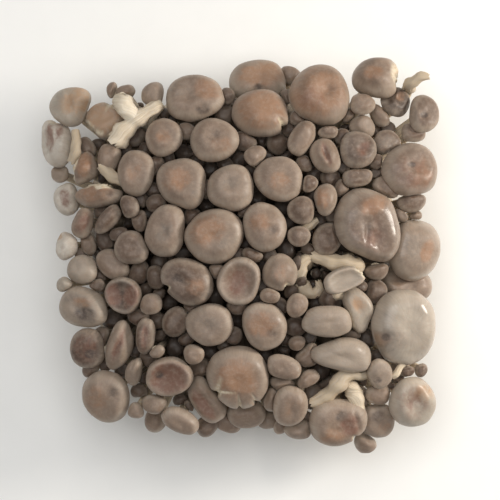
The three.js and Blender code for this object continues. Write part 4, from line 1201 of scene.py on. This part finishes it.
# ---- Materials --------------------------------------------------------------------------------------
class Tree:
    """Adds nodes to a material or a group. An input is a value, or a socket to link."""

    def __init__(self, tree):
        self.tree = tree

    def feed(self, node, inputs):
        for name, value in inputs.items():
            if isinstance(value, bpy.types.NodeSocket):
                self.tree.links.new(value, node.inputs[name])
            else:
                node.inputs[name].default_value = value
        return node

    def add(self, kind, inputs=(), **settings):
        node = self.tree.nodes.new(f"ShaderNode{kind}")
        for name, value in settings.items():
            setattr(node, name, value)
        return self.feed(node, dict(inputs))

    def attribute(self, name, output="Fac"):
        return self.add("Attribute", attribute_name=name).outputs[output]

    def math(self, operation, first, second, clamp=False):
        return self.add("Math", {0: first, 1: second}, operation=operation, use_clamp=clamp).outputs[0]

    def times(self, first, second, clamp=False):
        return self.math("MULTIPLY", first, second, clamp)

    def clouds(self, vector, scale, detail, roughness=0.5, distortion=0.0):
        return self.add("TexNoise", {"Vector": vector, "Scale": scale, "Detail": detail, "Roughness": roughness,
                                     "Distortion": distortion}).outputs[0]

    def ramp(self, value, low, high, to_low=0.0, to_high=1.0):
        return self.add("MapRange", {"Value": value, "From Min": low, "From Max": high, "To Min": to_low,
                                     "To Max": to_high}, interpolation_type="SMOOTHSTEP").outputs[0]

    def mix(self, factor, first, second, blend="MIX"):
        return self.add("Mix", {"Factor": factor, 6: first, 7: second}, data_type="RGBA",
                        blend_type=blend).outputs[2]

    def bump(self, height, strength, distance):
        return self.add("Bump", {"Height": height, "Strength": strength, "Distance": distance}).outputs[0]


def mottle_group():
    """A soft mask of patches, with fine grain in it, shared by the skin and the flesh."""
    group = bpy.data.node_groups.get("mottle")
    if group:
        return group
    group = bpy.data.node_groups.new("mottle", "ShaderNodeTree")
    group.interface.new_socket("Vector", in_out="INPUT", socket_type="NodeSocketVector")
    for name, default in (("Scale", 3.0), ("Low", 0.4), ("High", 0.6)):
        group.interface.new_socket(name, in_out="INPUT", socket_type="NodeSocketFloat").default_value = default
    group.interface.new_socket("Mask", in_out="OUTPUT", socket_type="NodeSocketFloat")
    tree = Tree(group)
    given = group.nodes.new("NodeGroupInput").outputs
    cloud = tree.clouds(given["Vector"], given["Scale"], detail=3.0, roughness=0.55, distortion=0.3)
    tree.feed(group.nodes.new("NodeGroupOutput"), {"Mask": tree.ramp(cloud, given["Low"], given["High"])})
    return group


def mottle(tree, vector, scale, low, high):
    return tree.add("Group", {"Vector": vector, "Scale": scale, "Low": low, "High": high},
                    node_tree=mottle_group()).outputs["Mask"]


def new_material(name):
    material = bpy.data.materials.new(name)
    material.use_nodes = True
    material.node_tree.nodes.clear()
    tree = Tree(material.node_tree)
    shader = tree.add("BsdfPrincipled")
    output = tree.add("OutputMaterial", {"Surface": shader.outputs[0]})
    output.is_active_output = True
    return material, tree, shader


def broken(tree, mask, cloud, most):
    """A stain's mask with its edge broken by a cloud."""
    uneven = tree.times(mask, tree.ramp(cloud, 0.0, 1.0, 0.7, 1.2))
    return tree.ramp(uneven, 0.15, 0.8, 0.0, most)


def cap_material(settings):
    """Skin by tone, bloom, margin, warm middle, stains and grain, torn flesh over it and gills under it, with painted
    shade on the buds deep in the bunch, in the dents and between the gills, and a painted haze of film sheen on the
    whitest.
    """
    material, tree, shader = new_material("cap_skin")
    own, spoke = tree.attribute("own", "Vector"), tree.attribute("spoke", "Vector")
    light, heat, patch, wet, gloom, ring, warm, red, grey, dark, torn = (
        tree.attribute(name) for name in (*TONED, "ring", *STAINS, "torn"))
    place = tree.add("TexCoord").outputs["Object"]
    cloud = mottle(tree, own, 1.5, 0.36, 0.66)
    blotch = mottle(tree, own, 3.1, 0.3, 0.7)
    fleck = tree.clouds(place, 750.0, 4.0, 0.6)
    fibril = tree.clouds(spoke, 2.4, 4.0, 0.7)
    film = tree.clouds(place, 240.0, 3.0, 0.55)
    edge, inner, outer, under, upper = (tree.ramp(ring, *band) for band in BANDS.values())
    skin = tree.mix(tree.ramp(light, 0.0, 0.5), settings.dark, settings.middling)
    # Tone: the lightest caps go towards a painted haze of film sheen, the darkest towards the deep colour as their
    # skin.
    for low, high, further in ((0.5, 1.0, settings.pale), (1.0, 1.5, settings.painted_film_haze), (0.0, -0.5, settings.deep)):
        skin = tree.mix(tree.ramp(light, low, high), skin, further)
    amber = tree.mix(tree.ramp(light, 0.6, 1.0), settings.warm, settings.amber)
    skin = tree.mix(tree.times(cloud, MOST.cool), skin, settings.cool)
    skin = tree.mix(tree.times(edge, tree.ramp(blotch, 0.0, 1.0, *MOST.margin)), skin, settings.margin)
    skin = tree.mix(broken(tree, tree.times(inner, tree.times(heat, patch)), cloud, MOST.heat), skin, amber)
    # The dark marks, and the dimples and folds darkened by depth, are partly painted shade.
    for mask, most, stain in ((grey, MOST.grey, settings.cool), (warm, MOST.stain, amber),
                              (red, MOST.stain, settings.red), (dark, MOST.stain, settings.dark_spot_and_painted_shade)):
        skin = tree.mix(broken(tree, mask, blotch, most), skin, stain)
    skin = tree.mix(tree.ramp(fibril, 0.35, 0.75, 0.0, MOST.fibril), skin, settings.dark, "MULTIPLY")
    skin = tree.mix(tree.ramp(fleck, 0.4, 0.75, 0.0, MOST.fleck), skin, settings.speck)
    # Torn flesh is flecked with the darker gill colour as grain, and the gills are streaked with it as painted shade.
    skin = tree.mix(torn, skin, tree.mix(tree.ramp(fleck, 0.35, 0.7), settings.flesh, settings.painted_gill_shade_and_flesh_grain))
    skin = tree.mix(under, skin, tree.mix(tree.ramp(fibril, 0.35, 0.65), settings.gills, settings.painted_gill_shade_and_flesh_grain))
    sheen = tree.math("SUBTRACT", SKIN.rough, tree.times(tree.times(wet, SKIN.sheen), outer))
    rough = tree.math("ADD", sheen, tree.ramp(cloud, 0.0, 1.0, *SKIN.uneven))
    dry = tree.times(tree.math("MAXIMUM", under, torn), SKIN.dry)
    damp = tree.times(tree.ramp(wet, 0.15, 0.9), tree.times(outer, SKIN.coat))
    tree.feed(shader, {
        # Painted shade: the buds deep in the bunch are darkened towards the deep skin colour.
        "Base Color": tree.mix(tree.times(gloom, MOST.gloom), skin, settings.deep),
        "Roughness": tree.math("MAXIMUM", rough, dry),
        "Normal": tree.bump(tree.math("ADD", tree.times(film, 3.0), fleck), strength=0.4, distance=0.0002),
        "Coat Weight": tree.times(upper, damp), "Coat Roughness": 0.17,
        "Subsurface Weight": 0.1, "Subsurface Radius": (1.0, 0.6, 0.4), "Subsurface Scale": 0.0015})
    return material


def flesh_material(settings):
    """Cream by freshness, streaked with fibres, stained at the foot and with painted shade deep in the bunch."""
    material, tree, shader = new_material("flesh")
    # depth holds the painted shade deep in the bunch.
    own, along, depth, fresh = (tree.attribute(name, output) for name, output in (
        ("own", "Vector"), ("along", "Fac"), ("depth", "Fac"), ("fresh", "Fac")))
    place = tree.add("TexCoord").outputs["Object"]
    stretched = tree.add("Mapping", {"Vector": own, "Scale": (7.0, 7.0, 1.5)}).outputs[0]
    fibres = tree.clouds(stretched, 1.0, 5.0, 0.65)
    stain = mottle(tree, place, 150.0, 0.42, 0.66)
    flesh = tree.mix(tree.ramp(fresh, 0.0, 1.0), settings.cream, settings.white)
    flesh = tree.mix(tree.ramp(fresh, 0.0, -1.0), flesh, settings.dull)
    streaks = tree.times(tree.ramp(fibres, 0.35, 0.68), tree.ramp(fresh, 0.0, 1.0, 1.0, 0.5))
    flesh = tree.mix(streaks, flesh, settings.streak)
    flesh = tree.mix(tree.times(stain, MOST.blotch), flesh, settings.streak)
    foot = tree.times(tree.ramp(along, 0.22, 0.0), tree.math("ADD", stain, 0.35))
    flesh = tree.mix(tree.times(foot, MOST.earth, clamp=True), flesh, settings.earth)
    tree.feed(shader, {
        # Painted shade: flesh deep in the bunch is darkened towards the shade colour.
        "Base Color": tree.mix(tree.times(depth, MOST.gloom), flesh, settings.shade),
        "Roughness": tree.ramp(fibres, 0.2, 0.8, 0.5, 0.75),
        "Normal": tree.bump(fibres, strength=0.5, distance=0.0004),
        "Subsurface Weight": 0.15, "Subsurface Radius": (1.0, 0.8, 0.5), "Subsurface Scale": 0.002})
    return material


def floor_material(settings):
    material, tree, shader = new_material("floor")
    grain = tree.clouds(tree.add("TexCoord").outputs["Object"], 60.0, 4.0)
    tree.feed(shader, {"Base Color": tree.mix(tree.ramp(grain, 0.2, 0.8), settings.floor, settings.floor_cloud),
                       "Roughness": 0.7})
    return material


# ---- Settings ---------------------------------------------------------------------------------------
def tint(red, green, blue):
    """An sRGB colour, 0 to 255, as the linear colour that Blender's sockets hold."""
    parts = [value / 255 for value in (red, green, blue)]
    return (*(p / 12.92 if p <= 0.04045 else ((p + 0.055) / 1.055) ** 2.4 for p in parts), 1.0)


def colour(name, description, *srgb):
    return bpy.props.FloatVectorProperty(name=name, description=description, subtype="COLOR", size=4,
                                         min=0, max=1, default=tint(*srgb))


def count(name, description, default, least):
    return bpy.props.IntProperty(name=name, description=description, default=default, min=least)


def amount(name, description, default, least=0.0, **rest):
    return bpy.props.FloatProperty(name=name, description=description, default=default, min=least, **rest)


class MushroomCapSettings(bpy.types.PropertyGroup):
    sides: count("Sides", "Spokes round a cap", 72, 24)
    button_sides: count("Button sides", "Spokes round a small cap", 40, 12)
    large_sides: count("Large sides", "Spokes round a large cap", 120, 24)
    gill_depth: amount("Gill depth", "Fold of a gill, as a share of the cap's height", 0.13)
    frill: amount("Frill", "Waviness of the outline, as a share of the radius", 0.03)
    curl: amount("Curl", "How far the margin waves up and down, as a share of the height", 0.05)
    swell: amount("Swell", "Unevenness of the crown, as a share of the height", 0.16)
    ragged: amount("Ragged", "Unevenness of a torn margin, as a share of the tear", 0.7)
    lump_spacing: amount("Lump spacing", "Millimetres between the slow lumps of a cap", 6.0, least=1)
    lump_height: amount("Lump height", "Height of the lumps in millimetres", 0.45)
    pucker: amount("Pucker", "Height of the small puckers in millimetres", 0.07)
    drift: bpy.props.FloatVectorProperty(name="Drift", description="How far caps of one tone differ in lightness, "
                                         "heat, patches and wetness", size=4, default=(0.14, 0.2, 0.2, 0.08))
    # Painted shade: half width of the part where the deep buds are darkened.
    painted_shade_width: amount("Gloom width", "Half width in millimetres of the part where the deep buds are dark", 61.0,
                        least=1)
    dark: colour("Dark skin", "Skin of the darkest caps", 96, 77, 64)
    middling: colour("Skin", "Skin of most caps", 128, 108, 92)
    pale: colour("Pale skin", "Skin of the palest caps", 167, 157, 143)
    cool: colour("Grey bloom", "Cool patches in the skin", 122, 110, 99)
    # Painted haze: the whitish sheen of the wrapping film over the palest caps.
    painted_film_haze: colour("Whitish skin", "Skin of the caps with a pale bloom", 200, 192, 180)
    warm: colour("Warm patch", "Orange brown in the middle of a cap", 143, 109, 84)
    amber: colour("Light warm patch", "Orange brown in the middle of a light cap", 170, 138, 108)
    red: colour("Red patch", "Red brown in the middle of a cap", 116, 82, 67)
    margin: colour("Margin", "Paler skin round the rim", 188, 174, 158)
    # Dark spots and painted shade: the colour of the dark marks and of the dimples and folds darkened by depth.
    dark_spot_and_painted_shade: colour("Hollow", "Skin in a dimple", 74, 62, 56)
    speck: colour("Speck", "Fine pale grain of the skin", 158, 140, 124)
    # Painted shade for the buds deep in the bunch; the darkest caps also take it as their skin.
    deep: colour("Deep skin", "Skin of the buds deep in the bunch", 46, 37, 31)
    flesh: colour("Torn flesh", "Flesh where a margin is torn", 206, 194, 172)
    gills: colour("Gills", "Gills under a cap", 208, 194, 168)
    # Painted shade between the gills; torn flesh also takes it as a darker grain.
    painted_gill_shade_and_flesh_grain: colour("Gill shade", "Shade between the gills", 178, 160, 134)


class MushroomStemSettings(bpy.types.PropertyGroup):
    sides: count("Sides", "Sides round a stem", 14, 6)
    rings: count("Rings", "Rings along a stem", 14, 4)
    torn_sides: count("Torn sides", "Sides round a torn stem", 28, 6)
    torn_rings: count("Torn rings", "Rings along a torn stem", 44, 4)
    ribs: amount("Ribs", "Depth of the ribs, as a share of a stem's radius", 0.1)
    crumble: amount("Crumble", "Unevenness of torn flesh, as a share of its radius", 0.3)
    flare: amount("Flare", "How much a stem widens into its cap", 0.5)
    ragged: amount("Ragged", "Length of the torn fibres in millimetres", 2.2)
    bent: amount("Bent", "How unevenly torn flesh lies, in millimetres", 0.8)
    drum: amount("Drum", "Share of the solid's butt that is drum and not feet", 0.955, least=0.5, max=1)
    feet: count("Feet", "Feet of stems fused round the butt", 86, 3)
    knobs: amount("Knobs", "Height of the butt's knobs in millimetres", 0.7)
    fuse_size: amount("Fuse size", "Grain at which the feet fuse", 0.001, least=0.0003, unit="LENGTH")
    # Where the painted shade on the inner stems and the butt lies.
    light_reach: amount("Light reach", "Height in millimetres below which the inner flesh is darker", 36.0)
    light_fade: amount("Light fade", "Millimetres over which it turns", 10.0, least=1)
    light_width: amount("Light width", "Half width in millimetres of the part that no light reaches", 56.0, least=1)
    cream: colour("Cream", "Flesh of the stems", 213, 199, 178)
    white: colour("White", "Freshly torn flesh", 222, 211, 192)
    dull: colour("Dull flesh", "Torn flesh that has dried", 168, 154, 136)
    streak: colour("Streak", "Fibres in the flesh", 182, 164, 138)
    earth: colour("Earth", "Stains round the foot", 146, 124, 98)
    # Painted shade for the flesh deep in the bunch.
    shade: colour("Deep flesh", "Flesh deep in the bunch", 62, 50, 41)


class MushroomStageSettings(bpy.types.PropertyGroup):
    floor: colour("Floor", "The pale surface that the bunch stands on", 238, 238, 236)
    floor_cloud: colour("Floor shade", "Faint cloud in the floor", 235, 235, 233)
    elevation: amount("Camera elevation", "Angle of the view above the floor", math.radians(88.5), subtype="ANGLE")
    distance: amount("Camera distance", "From the camera to the caps", 1.2, unit="LENGTH")
    width: amount("Picture width", "What the picture spans at the caps", 0.1677, unit="LENGTH")
    aim: bpy.props.FloatVectorProperty(name="Aim", description="Point that the camera looks at", subtype="XYZ",
                                       unit="LENGTH", default=(0.00266, -0.00177, 0.038))
    key: amount("Key light", "Strength of the low light on the right", 2.0, unit="POWER")
    key_colour: colour("Key colour", "Colour of the low light on the right", 255, 247, 236)
    top: amount("Top light", "Strength of the broad light overhead", 17.0, unit="POWER")
    top_colour: colour("Top colour", "Colour of the light overhead", 255, 254, 252)
    sky: amount("Sky", "Strength of the even light all round", 0.35)


# ---- Operators --------------------------------------------------------------------------------------
class MUSHROOM_OT_caps(bpy.types.Operator):
    """Models one pattern cap of each form, then every cap from it, in one piece for each solid"""
    bl_idname = "mushroom.caps"
    bl_label = "Caps"

    def execute(self, context):
        settings = context.scene.mushroom_caps
        patterns = {(form, size): cap_pattern(form, size, settings)
                    for form in TOPS for size in ("button", "cap", "large")}
        skin = cap_material(settings)
        for number, group in enumerate(GROUPS, 1):
            heads = []
            for cap in group:
                pattern, rings = patterns[cap.form, size_of(cap)]
                heads.append(shape_cap(cap, pattern, rings, planes_on(cap, LAID, STEMS), settings))
            piece = joined(heads, f"round_caps_{number:02d}")
            piece.data.materials.append(skin)
            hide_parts(f"caps_{number:02d}")
            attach(piece, "root")
        pattern, rings = patterns["bud", "button"]
        heads = [shape_cap(bud, pattern, rings, planes_on(bud, LAID + BUDS, STEMS), settings) for bud in BUDS]
        piece = joined(heads, "deep_buds")
        piece.data.materials.append(skin)
        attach(piece, "root")
        for pattern, _ in patterns.values():
            drop(pattern)
        return {"FINISHED"}


class MUSHROOM_OT_stems(bpy.types.Operator):
    """Models a stem, bends a copy under every cap, and models the torn flesh and the butt"""
    bl_idname = "mushroom.stems"
    bl_label = "Stems and butt"

    def execute(self, context):
        settings = context.scene.mushroom_stems
        flesh = flesh_material(settings)
        pattern = stem_pattern("pattern_stem", settings.sides, settings.rings)
        whole = [stem for stem in STEMS if not stem.torn] + [stem_of(bud) for bud in BUDS]
        stems = [shape_stem(rows_of(stem), number, pattern, settings) for number, stem in enumerate(whole)]
        butt = model_butt(pattern, settings)
        torn_pattern = stem_pattern("pattern_torn", settings.torn_sides, settings.torn_rings)
        lines = [[(*row[:3], min(row[3], TORN.root * path[0][3])) for row in rows_of(stem)[:2]] + path
                 for stem, path in zip([s for s in STEMS if s.torn], TORN_FLESH)] + SLIPS
        torn = [shape_stem(line, NUMBERS.torn + number, torn_pattern, settings, torn=True, fresh=fresh)
                for number, (line, fresh) in enumerate(zip(lines, FRESHNESS))]
        drop(pattern)
        drop(torn_pattern)
        for piece in (joined(stems, "fibrous_stems"), joined(torn, "torn_flesh"), butt):
            piece.data.materials.clear()
            piece.data.materials.append(flesh)
            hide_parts("stems_and_base")
            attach(piece, "root")
        return {"FINISHED"}


class MUSHROOM_OT_stage(bpy.types.Operator):
    """Lays the floor, hangs the lights and sets the camera"""
    bl_idname = "mushroom.stage"
    bl_label = "Stage"

    def execute(self, context):
        settings = context.scene.mushroom_stage
        alone()
        bpy.ops.mesh.primitive_plane_add(size=FLOOR.size, location=(0, 0, CAD_BOX[0][2] - FLOOR.below))
        floor = context.object
        floor.name = "floor"
        floor.data.materials.append(floor_material(settings))
        aim = Vector(settings.aim)
        for name, place, size in LIGHTS:
            bpy.ops.object.light_add(type="AREA", location=place)
            light = context.object
            light.name = f"{name}_light"
            light.data.size = size
            light.data.energy = getattr(settings, name)
            light.data.color = getattr(settings, f"{name}_colour")[:3]
            light.rotation_euler = (aim - Vector(place)).to_track_quat("-Z", "Y").to_euler()
        world = bpy.data.worlds.new("even_light")
        world.use_nodes = True
        world.node_tree.nodes["Background"].inputs["Color"].default_value = (1, 1, 1, 1)
        world.node_tree.nodes["Background"].inputs["Strength"].default_value = settings.sky
        context.scene.world = world
        back = Vector((0, -math.cos(settings.elevation), math.sin(settings.elevation)))
        bpy.ops.object.camera_add(location=aim + back * settings.distance)
        camera = context.object
        camera.rotation_euler = (-back).to_track_quat("-Z", "Y").to_euler()
        camera.data.lens = camera.data.sensor_width * settings.distance / settings.width
        camera.data.dof.use_dof = False
        context.scene.camera = camera
        context.scene.view_settings.view_transform = "Standard"
        return {"FINISHED"}


class MUSHROOM_PT_panel(bpy.types.Panel):
    """Lists the pieces of the bunch and the stage"""
    bl_idname = "MUSHROOM_PT_panel"
    bl_label = "Mushrooms"
    bl_space_type = "VIEW_3D"
    bl_region_type = "UI"
    bl_category = "Mushrooms"

    def draw(self, context):
        for operator in (MUSHROOM_OT_caps, MUSHROOM_OT_stems, MUSHROOM_OT_stage):
            self.layout.operator(operator.bl_idname, text=operator.bl_label)


CLASSES = (MushroomCapSettings, MushroomStemSettings, MushroomStageSettings, MUSHROOM_OT_caps, MUSHROOM_OT_stems,
           MUSHROOM_OT_stage, MUSHROOM_PT_panel)
SETTINGS = {"mushroom_caps": MushroomCapSettings, "mushroom_stems": MushroomStemSettings,
            "mushroom_stage": MushroomStageSettings}


def register():
    for cls in CLASSES:
        bpy.utils.register_class(cls)
    for name, cls in SETTINGS.items():
        setattr(bpy.types.Scene, name, bpy.props.PointerProperty(type=cls))


def unregister():
    for name in SETTINGS:
        delattr(bpy.types.Scene, name)
    for cls in reversed(CLASSES):
        bpy.utils.unregister_class(cls)


def main():
    register()
    bpy.ops.mushroom.caps()
    bpy.ops.mushroom.stems()
    bpy.ops.mushroom.stage()


if __name__ == "__main__":
    main()
